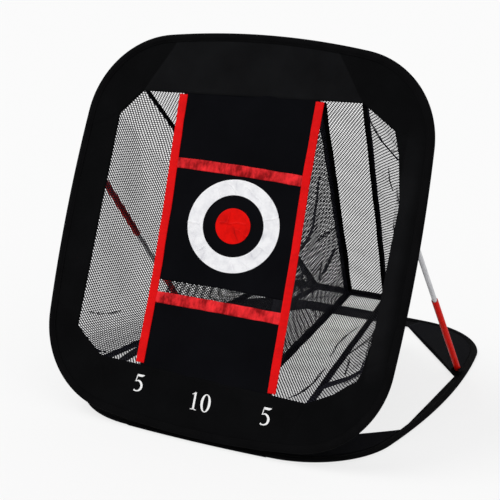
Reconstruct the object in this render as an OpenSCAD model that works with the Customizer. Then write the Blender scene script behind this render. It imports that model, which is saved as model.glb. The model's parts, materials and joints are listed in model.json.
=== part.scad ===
// Golf chipping net: two fabric-covered spring hoops joined along a bottom seam, a netted
// bag behind the target hoop, and two prop rods that hold the target hoop up.
// Frame: +X to the right of someone facing the target, +Y to the rear, +Z up.
// The origin is on the ground under the middle of the whole part.

/* [Target hoop] */
// Width of the target hoop over its sleeve
front_w = 600; // [560:5:640]
// Height of the target hoop over its sleeve
front_h = 625; // [600:5:660]
// Corner radius of the target hoop
front_corner_r = 146; // [120:2:160]
// How far the middle of each side bows out
front_side_bow = 5; // [3:1:10]
// How far the middle of the top and bottom bows out
front_end_bow = 10; // [6:1:16]
// Lean of the target hoop from upright, in degrees
lean = 21.8; // [15:0.5:28]

/* [Base hoop] */
// Width of the base hoop over its sleeve
base_w = 568; // [556:2:590]
// Depth of the base hoop over its sleeve
base_d = 688; // [664:2:720]
// Corner radius of the base hoop
base_corner_r = 150; // [130:2:160]
// How far the middle of each base side bows out
base_side_bow = 15; // [8:1:18]
// How far the middle of the base front and rear bows out
base_end_bow = 4; // [2:1:12]

/* [Sleeve and spring strip] */
// Thickness of the sleeve that wraps the spring strip
sleeve_t = 7; // [6.6:0.2:9]
// Width of the sleeve, measured inward from the outline
sleeve_w = 13; // [12:0.5:16]
// Thickness of the spring steel strip
strip_t = 1.4; // [1:0.1:1.6]
// Height of the spring steel strip
strip_h = 4.4; // [3.6:0.2:4.8]
// Length of the crimped ferrule that joins the strip's two ends
ferrule_l = 20; // [14:1:22]

/* [Target face] */
// Thickness of the border fabric
border_t = 2; // [1.6:0.1:2.4]
// Half width of the opening in the target hoop's border
opening_side = 244.5; // [236:0.5:252]
// Height of the opening's lower edge above the hinge, along the face
opening_bottom = 93; // [80:1:104]
// Height of the opening's upper edge above the hinge, along the face
opening_top = 529; // [510:1:536]
// Width of each chamfered corner of the opening
opening_chamfer_w = 62; // [40:1:80]
// Height of each chamfered corner of the opening
opening_chamfer_h = 64; // [40:1:80]
// Distance from the middle to each upright red tape's centre line
column_half = 114; // [100:1:125]
// Width of the red tapes
tape_w = 15; // [12:1:20]
// Thickness of the red tapes
tape_t = 1; // [0.8:0.1:1.4]
// Thickness of the black cloth panels between the tapes
panel_t = 1; // [0.6:0.1:1.4]
// Height of the upper cross tape's centre line above the hinge
upper_cross_v = 410; // [402:1:420]
// Height of the lower cross tape's centre line above the hinge
lower_cross_v = 204; // [194:1:212]
// Height of the target panel's free lower edge above the hinge
target_free_v = 230; // [225:1:236]
// Height of the ring's centre above the hinge
ring_v = 326; // [320:1:330]
// Outer radius of the target ring
ring_outer_r = 74; // [60:1:75]
// Inner radius of the target ring
ring_inner_r = 49; // [40:1:55]
// Radius of the centre spot
spot_r = 28; // [20:1:35]

/* [Net bag] */
// Half width of the bag's rear edge
rear_half = 104; // [90:1:125]
// Distance of the bag's rear edge behind the hinge
rear_back = 520; // [460:2:540]
// Height of the bag's rear edge above the ground
rear_z = 96; // [80:1:110]
// Distance from the middle to each divider at the rear edge
divider_rear = 32; // [25:1:50]
// Thickness of the netting
net_t = 1.2; // [0.8:0.1:1.6]
// Spacing of the net's threads
net_pitch = 44; // [42:1:60]
// Width of a net thread
thread_w = 2.6; // [2:0.2:4]
// Width of the plain hem round each net
hem_w = 5; // [4:0.5:8]
// Width of the black tape on the outer seams
seam_w = 10; // [8:0.5:14]
// Width of the black tape on the divider seams
divider_seam_w = 14; // [10:0.5:16]

/* [Base cloth] */
// Distance from the outline to the side bands' inner edges
side_band = 20; // [18:1:30]
// Distance from the outline to the front and rear bands' inner edges
end_band = 46; // [36:1:56]
// Thickness of each corner gusset
gusset_t = 1.2; // [0.8:0.1:1.6]
// Width of each rear gusset along the rear band
rear_gusset_w = 158; // [120:1:180]
// Length of each rear gusset along the side band
rear_gusset_l = 200; // [160:1:220]
// Width of each front gusset along the front band
front_gusset_w = 175; // [130:1:190]
// Length of each front gusset along the side band
front_gusset_l = 140; // [100:1:160]

/* [Prop rods] */
// Distance of each rod inside the edge of the narrower hoop
rod_edge = 20; // [19:0.5:24]
// Distance of each rod's foot in front of the base's rear edge
rod_foot_from_rear = 231; // [220:1:245]
// Height of each rod's head above the hinge, along the face
rod_head_v = 386; // [370:1:395]
// Diameter of the white rod
rod_d = 8; // [7:0.2:9]
// Diameter of the red sleeves on the rod's ends
rod_sleeve_d = 10.6; // [10:0.2:12]
// Length of the left rod's lower red sleeve
left_lower_sleeve = 150; // [100:2:200]
// Length of the left rod's upper red sleeve
left_upper_sleeve = 186; // [80:2:190]
// Length of the right rod's lower red sleeve
right_lower_sleeve = 222; // [100:2:240]
// Length of the right rod's upper red sleeve
right_upper_sleeve = 70; // [60:2:180]
// Thickness of the cheeks that hold each rod end
cheek_t = 2; // [1.4:0.2:2.4]

/* [Hidden] */
$fn = 48;

black = "#17181a";
soft_black = "#202124";
red = "#e8231d";
white = "#f4f4f4";
steel = "#9aa0a6";
net_grey = "#4a4c50";

eps = 0.05;          // Overshoot of a cut past the face it opens
fit = 0.3;           // Gap between soft pieces that only lie next to each other
cloth_gap = 0.1;     // Gap between sewn layers
hinge_gap = 0.2;     // Gap between the folded hoops at the seam
side_steps = 3;      // Points on half of a bowed side
corner_steps = 9;    // Points round a corner

// Outline of a hoop: half width, half height, corner radius, side bow, end bow
front_hoop_size = [front_w / 2, front_h / 2, front_corner_r, front_side_bow, front_end_bow];
base_hoop_size = [base_w / 2, base_d / 2, base_corner_r, base_side_bow, base_end_bow];

rim_edge = 1.4;      // Bevel of a sleeve's long edges
// The hinge line's place puts the middle of the whole part over the origin
face_reach = sleeve_t * cos(lean) - rim_edge * sin(lean);
hinge_y = (face_reach - base_d) / 2;
hinge_z = sleeve_t + hinge_gap;
base_y = hinge_y + base_d / 2;
// The face runs up and back from the hinge; its rear side passes through the hinge line
face_up = [0, sin(lean), cos(lean)];
face_front = [0, -cos(lean), sin(lean)];

// Levels through a hoop's thickness, from its rear or lower side
strip_low = (sleeve_t - strip_h) / 2;
channel_play = 0.6;                          // Room over and under the strip for its ferrule
channel_low = strip_low - channel_play;
border_low = (sleeve_t - border_t) / 2;
border_high = border_low + border_t;
slot_play = 0.1;
// Insets from the outline
channel_out = 4.6;
strip_out = 5.9;
channel_in = strip_out + strip_t + 1;
border_out = channel_in + 0.1;
panel_low = border_low + (border_t - panel_t) / 2;
panel_high = panel_low + panel_t;
ring_t = 0.4;

rear_line_y = hinge_y + rear_back;

// Rod pockets
pocket_floor_t = 1;
pocket_gap = fit;
rod_r = rod_sleeve_d / 2;
foot_floor = sleeve_t + 0.1;                 // The foot pocket's floor clears the sleeve
foot_z = foot_floor + pocket_floor_t + pocket_gap + rod_r;
head_floor = border_low - pocket_floor_t;    // The head pocket stands on the border's rear side
head_n = head_floor - pocket_gap - rod_r;
rod_x = min(front_w, base_w) / 2 - rod_edge;
rod_foot = [0, hinge_y + base_d - rod_foot_from_rear, foot_z];
rod_head = face_point(0, rod_head_v, head_n);
rod_len = norm(rod_head - rod_foot);
rod_tilt = acos((rod_head[2] - rod_foot[2]) / rod_len);
pocket_len = 26;
cheek_high = 9;
sleeve_bore_play = 0.1;
end_wall = 5;                                // Solid end of a red sleeve beyond the rod

// Point on the target face, from its place across, up and out of the face
function face_point(u, v, n) =
    [u, hinge_y, hinge_z] + v * face_up + n * face_front;

// Bowed rounded rectangle, moved in from its outline by d: side, corner and end arcs share
// tangents, and the other three quarters are mirrored from the first
function arc(c, r, from, to, steps) =
    [for (i = [0 : steps]) let (a = from + (to - from) * i / steps) c + r * [cos(a), sin(a)]];
function tail(list) = [for (i = [1 : len(list) - 1]) list[i]];
function flip(list) = [for (i = [len(list) - 1 : -1 : 0]) list[i]];
// Radius of a bowed edge, from how far along it the corner's centre lies
function bow_radius(reach, r, bow) = (reach * reach + pow(r + bow, 2) - r * r) / (2 * bow);
function quarter(size, d) =
    let (
        a = size[0], b = size[1], r = size[2], bow_a = size[3], bow_b = size[4],
        cx = a - r - bow_a,
        cy = b - r - bow_b,
        side_r = bow_radius(cy, r, bow_a),
        end_r = bow_radius(cx, r, bow_b),
        side_c = [a - side_r, 0],
        end_c = [0, b - end_r],
        t1 = atan2(cy, cx - side_c[0]),
        t2 = atan2(cy - end_c[1], cx)
    )
    concat(
        arc(side_c, side_r - d, 0, t1, side_steps),
        tail(arc([cx, cy], r - d, t1, t2, corner_steps)),
        tail(arc(end_c, end_r - d, t2, 90, side_steps))
    );
function outline(size, d) =
    let (
        q = quarter(size, d),
        half = concat(q, tail(flip([for (p = q) [-p[0], p[1]]])))
    )
    concat(half, [for (i = [len(half) - 2 : -1 : 1]) [half[i][0], -half[i][1]]]);

// Convex outline moved in by d: each corner is where its two moved edges meet
function unit(v) = v / norm(v);
function inward(a, b) = let (e = unit(b - a)) [-e[1], e[0]];
function meet(p, u, q, v) =
    p + u * ((q[0] - p[0]) * v[1] - (q[1] - p[1]) * v[0]) / (u[0] * v[1] - u[1] * v[0]);
function inset(points, d) = insets(points, [for (p = points) d]);
// The same with its own distance for each edge, from that edge's first corner
function insets(points, d) =
    let (n = len(points))
    [for (i = [0 : n - 1]) let (
        a = points[(i + n - 1) % n], b = points[i], c = points[(i + 1) % n],
        da = d[(i + n - 1) % n], dc = d[i]
    ) meet(b + da * inward(a, b), b - a, b + dc * inward(b, c), c - b)];
// Least distance from a point to the edges of a convex outline, negative outside
function depth(p, points) =
    let (n = len(points))
    min([for (i = [0 : n - 1]) (p - points[i]) * inward(points[i], points[(i + 1) % n])]);

// A slab that follows a hoop between two insets and two levels
module hoop_band(size, outer, inner, low, high) {
    translate([0, 0, low]) linear_extrude(high - low) difference() {
        polygon(outline(size, outer));
        polygon(outline(size, inner));
    }
}

module on_base() {
    translate([0, base_y, 0]) children();
}

// Places what is drawn flat, with +Y up the face and +Z out of its front, on the target face
module on_face() {
    translate([0, hinge_y, hinge_z]) rotate([90 - lean, 0, 0]) children();
}
module on_face_centre() {
    on_face() translate([0, front_h / 2, 0]) children();
}

// ---- Hoops: the same four pieces for the base and for the target face ----

module spring_strip(size) {
    color(steel) difference() {
        hoop_band(size, strip_out, strip_out + strip_t, strip_low, strip_low + strip_h);
        // The two ends of the strip meet here, inside the ferrule
        translate([-strip_gap / 2, 0, -eps]) cube([strip_gap, size[1], sleeve_t]);
    }
}

strip_gap = 1;
ferrule_wall = 0.4;
ferrule_play = 0.3;
ferrule_drop = 0.15;                         // The curved strip leaves a straight ferrule inward
module ferrule(size) {
    middle = size[1] - strip_out - strip_t / 2 - ferrule_drop;
    hole = [ferrule_l + 1, strip_t + 2 * ferrule_play, strip_h + ferrule_play / 2];
    shell = [ferrule_l, hole[1] + 2 * ferrule_wall, hole[2] + 2 * ferrule_wall];
    color(steel) translate([0, middle, sleeve_t / 2]) difference() {
        cube(shell, center = true);
        cube(hole, center = true);
    }
}

// Fabric folded round the strip and sewn to both sides of the border
module rim_sleeve(size) {
    color(soft_black) difference() {
        union() {
            hoop_band(size, 0, sleeve_w, rim_edge, sleeve_t - rim_edge);
            hoop_band(size, rim_edge, sleeve_w, 0, rim_edge);
            hoop_band(size, rim_edge, sleeve_w, sleeve_t - rim_edge, sleeve_t);
        }
        hoop_band(size, channel_out, channel_in, channel_low, sleeve_t - channel_low);
        hoop_band(size, channel_in - eps, sleeve_w + 1,
            border_low - slot_play, border_high + slot_play);
    }
}

// ---- Base ----

base_side = base_w / 2 - side_band;
base_end = base_d / 2 - end_band;

module base_hoop() {
    on_base() spring_strip(base_hoop_size);
}

module base_ferrule() {
    on_base() ferrule(base_hoop_size);
}

module base_sleeve() {
    on_base() rim_sleeve(base_hoop_size);
}

module base_band() {
    color(black) on_base() translate([0, 0, border_low]) linear_extrude(border_t) difference() {
        polygon(outline(base_hoop_size, border_out));
        polygon([
            [base_side - front_gusset_w, -base_end],
            [base_side, -base_end + front_gusset_l],
            [base_side, base_end - rear_gusset_l],
            [base_side - rear_gusset_w, base_end],
            [-base_side + rear_gusset_w, base_end],
            [-base_side, base_end - rear_gusset_l],
            [-base_side, -base_end + front_gusset_l],
            [-base_side + front_gusset_w, -base_end]
        ]);
    }
}

// Triangle of cloth across a corner of the base; side is -1 or 1, end is -1 front or 1 rear
module gusset(side, end, width, length) {
    color(black) on_base() translate([0, 0, border_high]) linear_extrude(gusset_t) intersection() {
        polygon(outline(base_hoop_size, sleeve_w + slot_play));
        polygon([
            [side * base_side, end * (base_end - length)],
            [side * base_w, end * (base_end - length)],
            [side * base_w, end * base_d],
            [side * (base_side - width), end * base_d],
            [side * (base_side - width), end * base_end]
        ]);
    }
}

module rear_gusset_left() {
    gusset(-1, 1, rear_gusset_w, rear_gusset_l);
}

module rear_gusset_right() {
    gusset(1, 1, rear_gusset_w, rear_gusset_l);
}

module front_gusset_left() {
    gusset(-1, -1, front_gusset_w, front_gusset_l);
}

module front_gusset_right() {
    gusset(1, -1, front_gusset_w, front_gusset_l);
}

// Two cheeks and a floor that a rod's round end sits in
module cradle(under) {
    half = rod_r + pocket_gap;
    for (s = [-1, 1])
        translate([s > 0 ? half : -half - cheek_t, -pocket_len / 2, 0])
            cube([cheek_t, pocket_len, cheek_high]);
    translate([-half - cheek_t, -pocket_len / 2, 0])
        cube([2 * (half + cheek_t), pocket_len, pocket_floor_t]);
    if (under > 0)
        translate([-half - cheek_t, -pocket_len / 2, -under])
            cube([half + cheek_t, pocket_len, under + eps]);
}

module rod_foot_pocket(side) {
    color(soft_black) translate([side * rod_x, rod_foot[1], foot_floor])
        mirror([side > 0 ? 0 : 1, 0, 0]) cradle(foot_floor - border_high - gusset_t);
}

module rod_foot_pocket_left() {
    rod_foot_pocket(-1);
}

module rod_foot_pocket_right() {
    rod_foot_pocket(1);
}

// Seam tape that joins the two hoops along the middle of the front edge
hinge_tape_half = 120;
hinge_tape_t = 0.8;
module hinge_tape() {
    color(black) on_base() intersection() {
        hoop_band(base_hoop_size, -hinge_tape_t, 0, rim_edge, sleeve_t - rim_edge);
        translate([-hinge_tape_half, -base_d, 0]) cube([2 * hinge_tape_half, base_d, sleeve_t]);
    }
}

// ---- Target face ----

module front_hoop() {
    on_face_centre() spring_strip(front_hoop_size);
}

module front_ferrule() {
    on_face_centre() ferrule(front_hoop_size);
}

module front_sleeve() {
    on_face_centre() rim_sleeve(front_hoop_size);
}

// Half width of the opening's straight top and bottom edges
opening_flat = opening_side - opening_chamfer_w;
// Corners of the opening, counter-clockwise from the lower right
opening_corners = [
    [opening_flat, opening_bottom],
    [opening_side, opening_bottom + opening_chamfer_h],
    [opening_side, opening_top - opening_chamfer_h],
    [opening_flat, opening_top],
    [-opening_flat, opening_top],
    [-opening_side, opening_top - opening_chamfer_h],
    [-opening_side, opening_bottom + opening_chamfer_h],
    [-opening_flat, opening_bottom]
];

module front_border() {
    color(black) on_face() translate([0, 0, border_low]) linear_extrude(border_t) difference() {
        translate([0, front_h / 2]) polygon(outline(front_hoop_size, border_out));
        polygon(opening_corners);
    }
}

// Cloth between the two upright tapes, from one height to another
module column_cloth(low, high) {
    color(black) on_face() translate([-column_half, low, panel_low])
        cube([2 * column_half, high - low, panel_t]);
}

module upper_panel() {
    column_cloth(upper_cross_v, opening_top - cloth_gap);
}

module target_panel() {
    column_cloth(target_free_v, upper_cross_v - cloth_gap);
}

module lower_panel() {
    column_cloth(opening_bottom + cloth_gap, lower_cross_v);
}

module target_ring() {
    color(white) on_face() translate([0, ring_v, panel_high]) difference() {
        cylinder(r = ring_outer_r, h = ring_t, $fn = 72);
        translate([0, 0, -eps]) cylinder(r = ring_inner_r, h = ring_t + 2 * eps, $fn = 72);
    }
}

module target_spot() {
    color(red) on_face() translate([0, ring_v, panel_high]) cylinder(r = spot_r, h = ring_t, $fn = 72);
}

module red_tape(side) {
    color(red) on_face()
        translate([side * column_half - tape_w / 2, opening_bottom + cloth_gap, panel_high])
            cube([tape_w, opening_top - opening_bottom - 2 * cloth_gap, tape_t]);
}

module red_tape_left() {
    red_tape(-1);
}

module red_tape_right() {
    red_tape(1);
}

module cross_tape(centre_v) {
    half = column_half - tape_w / 2;
    color(red) on_face() translate([-half, centre_v - tape_w / 2, panel_high])
        cube([2 * half, tape_w, tape_t]);
}

module cross_tape_upper() {
    cross_tape(upper_cross_v);
}

module cross_tape_lower() {
    cross_tape(lower_cross_v);
}

module rod_head_pocket(side) {
    color(soft_black) on_face() translate([side * rod_x, rod_head_v, border_low])
        rotate([0, 180, 0]) cradle(0);
}

module rod_head_pocket_left() {
    rod_head_pocket(-1);
}

module rod_head_pocket_right() {
    rod_head_pocket(1);
}

// ---- Net bag: flat nets between the opening and a narrower rear edge ----

mouth_n = border_low - fit;                  // The nets start just behind the border
mouth_out = 3;                               // The nets' mouth edges lie behind the border
function mouth(u, v) = face_point(u, v, mouth_n);
function rear(u) = [u, rear_line_y, rear_z];
top_v = opening_top + mouth_out;
bottom_v = opening_bottom - mouth_out;
side_u = opening_side + mouth_out;
high_v = opening_top - opening_chamfer_h;
low_v = opening_bottom + opening_chamfer_h;

// Flat outline of coplanar corners: the first edge lies along +X, the net's face is +Z
function flat_axes(c) =
    let (x = unit(c[1] - c[0]), z = unit(cross(x, c[2] - c[0]))) [x, cross(z, x), z];
function flat_points(c) =
    let (m = flat_axes(c)) [for (p = c) [(p - c[0]) * m[0], (p - c[0]) * m[1]]];
module place(c) {
    m = flat_axes(c);
    multmatrix([
        [m[0][0], m[1][0], m[2][0], c[0][0]],
        [m[0][1], m[1][1], m[2][1], c[0][1]],
        [m[0][2], m[1][2], m[2][2], c[0][2]],
        [0, 0, 0, 1]
    ]) children();
}

// Diamond gaps on a square grid, cut off by the hem
gap_depth = 0.05;                            // Gaps that reach in less than this are left out
module net_gaps(points, pitch) {
    inner = inset(points, hem_w);
    reach = max([for (p = points) norm(p)]);
    count = ceil(reach / pitch);
    intersection() {
        polygon(inner);
        union() for (i = [-count : 2 * count], j = [-2 * count : 2 * count])
            let (c = pitch / sqrt(2) * [i + j, j - i])
                if (depth(c, inner) > gap_depth * pitch)
                    translate(c) rotate(45) square(pitch - thread_w, center = true);
    }
}

// Cuts what is drawn off along the target face, behind a level and between two heights
module behind_face(level, low, high) {
    intersection() {
        children();
        on_face() translate([-front_w / 2, low, level - base_d]) cube([front_w, high - low, base_d]);
    }
}

// A flat net between corners, with its edges moved in by the given distances
module net(corners, gaps) {
    cut = insets(flat_points(corners), gaps);
    color(net_grey) place(corners) translate([0, 0, -net_t / 2]) linear_extrude(net_t) difference() {
        polygon(cut);
        net_gaps(cut, net_pitch);
    }
}

seam_t = 1.2;
rear_tape_half_h = 6;
// How far each net's edge stays back from the line where it meets the next piece
at_mouth = -1.5;                             // Past the border's level, where it is cut off
at_rear_top = 2.25;
at_rear_floor = seam_t / 2 + fit;
at_outer_seam = seam_w / 2 + fit;
past_seam = 2.3;
past_divider_seam = 2.4;

module top_net() {
    behind_face(mouth_n, 0, front_h)
        net([
            rear(-rear_half), rear(rear_half),
            mouth(opening_flat, top_v), mouth(-opening_flat, top_v)
        ], [at_rear_top, at_outer_seam, at_mouth, at_outer_seam]);
}

module floor_net() {
    behind_face(mouth_n, 0, front_h)
        net([
            rear(rear_half), rear(-rear_half),
            mouth(-opening_flat, bottom_v), mouth(opening_flat, bottom_v)
        ], [at_rear_floor, at_outer_seam, at_mouth, at_outer_seam]);
}

// The side of the bag folds twice on its way round the opening's corners
side_tip_back = 14;                          // It ends this far short of the rear corner
module side_net(side) {
    corner = rear(side * rear_half);
    tip = corner + side_tip_back * unit(mouth(side * side_u, (high_v + low_v) / 2) - corner);
    a = mouth(side * opening_flat, top_v);
    b = mouth(side * side_u, high_v);
    c = mouth(side * side_u, low_v);
    d = mouth(side * opening_flat, bottom_v);
    behind_face(mouth_n, 0, front_h) {
        net([b, a, tip], [at_mouth, past_seam, 0]);
        net([c, b, tip], [at_mouth, 0, 0]);
        net([d, c, tip], [at_mouth, 0, past_seam]);
    }
}

module side_net_left() {
    side_net(-1);
}

module side_net_right() {
    side_net(1);
}

module divider_net(side) {
    behind_face(panel_low - fit, opening_bottom + cloth_gap, opening_top - cloth_gap)
        net([
            mouth(side * column_half, bottom_v),
            mouth(side * column_half, top_v),
            rear(side * divider_rear)
        ], [at_mouth, past_divider_seam, past_divider_seam]);
}

module divider_net_left() {
    divider_net(-1);
}

module divider_net_right() {
    divider_net(1);
}

// Flat tape from one point to another, its broad side square to a normal
module flat_tape(from, to, normal, width, level, start, stop) {
    along = unit(to - from);
    side = unit(cross(normal, along));
    up = cross(along, side);
    color(black) multmatrix([
        [along[0], side[0], up[0], from[0]],
        [along[1], side[1], up[1], from[1]],
        [along[2], side[2], up[2], from[2]],
        [0, 0, 0, 1]
    ]) translate([start, -width / 2, level - seam_t / 2])
        cube([norm(to - from) - start - stop, width, seam_t]);
}

top_normal = unit(cross([1, 0, 0], mouth(0, top_v) - rear(0)));
floor_normal = unit(cross([1, 0, 0], mouth(0, bottom_v) - rear(0)));
rear_clear = 5;                              // Beyond the rear edge tape
rear_stop = rear_tape_half_h + rear_clear;
mouth_stop = 2.4;
inside = net_t / 2 + seam_t / 2 + cloth_gap;

module top_seam(side) {
    flat_tape(mouth(side * opening_flat, top_v), rear(side * rear_half), top_normal,
        seam_w, 0, mouth_stop, rear_stop);
}

module top_seam_left() {
    top_seam(-1);
}

module top_seam_right() {
    top_seam(1);
}

module floor_seam(side) {
    flat_tape(mouth(side * opening_flat, bottom_v), rear(side * rear_half), floor_normal,
        seam_w, 0, mouth_stop, rear_stop);
}

module floor_seam_left() {
    floor_seam(-1);
}

module floor_seam_right() {
    floor_seam(1);
}

// The divider seams lie on the inner side of the top and floor nets
module divider_top_seam(side) {
    flat_tape(mouth(side * column_half, top_v), rear(side * divider_rear), top_normal,
        divider_seam_w, inside, mouth_stop, rear_stop);
}

module divider_top_seam_left() {
    divider_top_seam(-1);
}

module divider_top_seam_right() {
    divider_top_seam(1);
}

module divider_floor_seam(side) {
    flat_tape(mouth(side * column_half, bottom_v), rear(side * divider_rear), floor_normal,
        divider_seam_w, -inside, mouth_stop, rear_stop);
}

module divider_floor_seam_left() {
    divider_floor_seam(-1);
}

module divider_floor_seam_right() {
    divider_floor_seam(1);
}

module rear_edge_tape() {
    color(black) translate([-rear_half, rear_line_y - seam_t / 2, rear_z - rear_tape_half_h])
        cube([2 * rear_half, seam_t, 2 * rear_tape_half_h]);
}

// ---- Prop rods ----

// Draws along +Z and places it from a rod's foot towards its head
module along_rod(side) {
    translate([side * rod_x, rod_foot[1], rod_foot[2]]) rotate([rod_tilt, 0, 0]) children();
}

module prop_rod(side) {
    color(white) along_rod(side) translate([0, 0, end_wall])
        cylinder(d = rod_d, h = rod_len - 2 * end_wall);
}

// Red sleeve with a round closed end, open where the rod leaves it
module rod_sleeve(length) {
    color(red) difference() {
        union() {
            sphere(r = rod_r, $fn = 24);
            cylinder(r = rod_r, h = length, $fn = 24);
        }
        translate([0, 0, end_wall - sleeve_bore_play])
            cylinder(d = rod_d + 2 * sleeve_bore_play, h = length);
    }
}

module lower_sleeve(side, length) {
    along_rod(side) rod_sleeve(length);
}

module upper_sleeve(side, length) {
    along_rod(side) translate([0, 0, rod_len]) rotate([180, 0, 0]) rod_sleeve(length);
}

module rod_left() {
    prop_rod(-1);
}

module rod_left_lower_sleeve() {
    lower_sleeve(-1, left_lower_sleeve);
}

module rod_left_upper_sleeve() {
    upper_sleeve(-1, left_upper_sleeve);
}

module rod_right() {
    prop_rod(1);
}

module rod_right_lower_sleeve() {
    lower_sleeve(1, right_lower_sleeve);
}

module rod_right_upper_sleeve() {
    upper_sleeve(1, right_upper_sleeve);
}

// What the joints are stated from
fold_limit = 60;
rod_end_angle = 4;                           // Where a rod lies back, from level
rod_swing = 90 + rod_tilt - rod_end_angle;
echo(hinge = [0, hinge_y, hinge_z], rod_foot = rod_foot, rod_head = rod_head, rod_len = rod_len);
echo(fold_limit = fold_limit, rod_swing = rod_swing, rod_ratio = rod_swing / fold_limit);

base_hoop();
base_ferrule();
base_sleeve();
base_band();
rear_gusset_left();
rear_gusset_right();
front_gusset_left();
front_gusset_right();
rod_foot_pocket_left();
rod_foot_pocket_right();
hinge_tape();
front_hoop();
front_ferrule();
front_sleeve();
front_border();
upper_panel();
target_panel();
lower_panel();
target_ring();
target_spot();
red_tape_left();
red_tape_right();
cross_tape_upper();
cross_tape_lower();
rod_head_pocket_left();
rod_head_pocket_right();
top_net();
floor_net();
side_net_left();
side_net_right();
divider_net_left();
divider_net_right();
rear_edge_tape();
top_seam_left();
top_seam_right();
floor_seam_left();
floor_seam_right();
divider_top_seam_left();
divider_top_seam_right();
divider_floor_seam_left();
divider_floor_seam_right();
rod_left();
rod_left_lower_sleeve();
rod_left_upper_sleeve();
rod_right();
rod_right_lower_sleeve();
rod_right_upper_sleeve();
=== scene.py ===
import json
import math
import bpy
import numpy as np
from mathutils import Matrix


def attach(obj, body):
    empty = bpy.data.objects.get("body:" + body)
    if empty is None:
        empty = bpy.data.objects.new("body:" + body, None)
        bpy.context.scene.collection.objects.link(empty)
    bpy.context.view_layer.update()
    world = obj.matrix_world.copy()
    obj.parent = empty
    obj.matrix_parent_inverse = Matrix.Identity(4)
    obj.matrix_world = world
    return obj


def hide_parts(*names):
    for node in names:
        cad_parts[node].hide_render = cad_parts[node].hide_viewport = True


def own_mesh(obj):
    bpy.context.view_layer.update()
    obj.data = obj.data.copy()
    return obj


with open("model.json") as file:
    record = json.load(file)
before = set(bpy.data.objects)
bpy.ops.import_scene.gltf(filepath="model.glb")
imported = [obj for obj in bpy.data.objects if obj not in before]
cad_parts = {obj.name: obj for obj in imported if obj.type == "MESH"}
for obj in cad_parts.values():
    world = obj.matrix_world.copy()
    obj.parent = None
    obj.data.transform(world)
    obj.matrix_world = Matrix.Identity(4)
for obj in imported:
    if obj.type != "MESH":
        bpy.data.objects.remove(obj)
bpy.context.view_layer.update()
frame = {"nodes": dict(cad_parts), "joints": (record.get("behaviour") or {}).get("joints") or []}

# %% [markdown]
# # A golf chipping net
# The construction model is loaded above as a fixed frame: hoops, cloth, nets and prop rods as
# plain solids, already on the bodies that move. This lesson dresses it. The rods and the spring
# strips keep their solids and get finishes. Everything that is cloth gets a new surface, because
# a solid slab can't show a rolled rim, a hem, a bowed tape or netting.

joints = {j["name"]: j for j in frame["joints"]}
HINGE = np.array(joints["front_fold"]["pos_m"], float)
LEAN = math.radians(21.8)
MM = 0.001

# %% [markdown]
# ## Camera, light and floor
# The lens is a long one, so the hoops keep their shape. The light is a soft studio: one broad
# lamp from above, a weaker one from the other side, and a world that lights evenly but shows
# plain white to the camera and to reflections.

# %% Camera
CAMERA_AT = (0.8791, -1.9157, 0.8352)
CAMERA_YAW, CAMERA_PITCH, CAMERA_ROLL = (math.radians(a) for a in (26.636, 16.402, 0.992))
LENS = 93.51


def camera_axes(yaw, pitch, roll):
    """Right, up and backward: the level axes turned by yaw, tipped by pitch, then rolled."""
    forward = np.array([
        -math.sin(yaw) * math.cos(pitch), math.cos(yaw) * math.cos(pitch), -math.sin(pitch)
    ])
    right = np.array([math.cos(yaw), math.sin(yaw), 0])
    up = np.cross(right, forward)
    c, s = math.cos(roll), math.sin(roll)
    return c * right + s * up, c * up - s * right, -forward


view = Matrix.Identity(4)
for column, axis in enumerate(camera_axes(CAMERA_YAW, CAMERA_PITCH, CAMERA_ROLL)):
    for row in range(3):
        view[row][column] = axis[row]
for row in range(3):
    view[row][3] = CAMERA_AT[row]
camera_data = bpy.data.cameras.new("studio_camera")
camera_data.lens, camera_data.sensor_width = LENS, 36
camera = bpy.data.objects.new("studio_camera", camera_data)
camera.matrix_world = view
scene = bpy.context.scene
scene.collection.objects.link(camera)
scene.camera = camera
scene.view_settings.view_transform = "Standard"
print("camera at", CAMERA_AT)

# %% [markdown]
# ## A short way to write materials
# A material is a net of nodes. Written as links it is long and hard to read, so one small class
# wraps a socket and lets + - * / work on it: each adds a Math node. Any other node comes from one
# method that takes its type, its settings and its inputs.


# %% Sockets with operators
class Socket:
    def __init__(self, tree, socket):
        self.tree, self.socket = tree, socket

    def math(self, operation, *values):
        return self.tree.node("Math", dict(operation=operation), *values)

    def __add__(self, other):
        return self.math("ADD", self, other)

    def __sub__(self, other):
        return self.math("SUBTRACT", self, other)

    def __rsub__(self, other):
        return self.math("SUBTRACT", other, self)

    def __mul__(self, other):
        return self.math("MULTIPLY", self, other)

    def __truediv__(self, other):
        return self.math("DIVIDE", self, other)

    def __pow__(self, other):
        return self.math("POWER", self, other)

    def __gt__(self, other):
        return self.math("GREATER_THAN", self, other)

    __radd__, __rmul__ = __add__, __mul__

    def sine(self):
        return self.math("SINE", self)

    def size(self):
        return self.math("ABSOLUTE", self)

    def between(self, low, high, to_low=0.0, to_high=1.0):
        """Straight ramp from low..high to to_low..to_high, held at its ends."""
        return self.tree.node("MapRange", {}, self, low, high, to_low, to_high)


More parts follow.
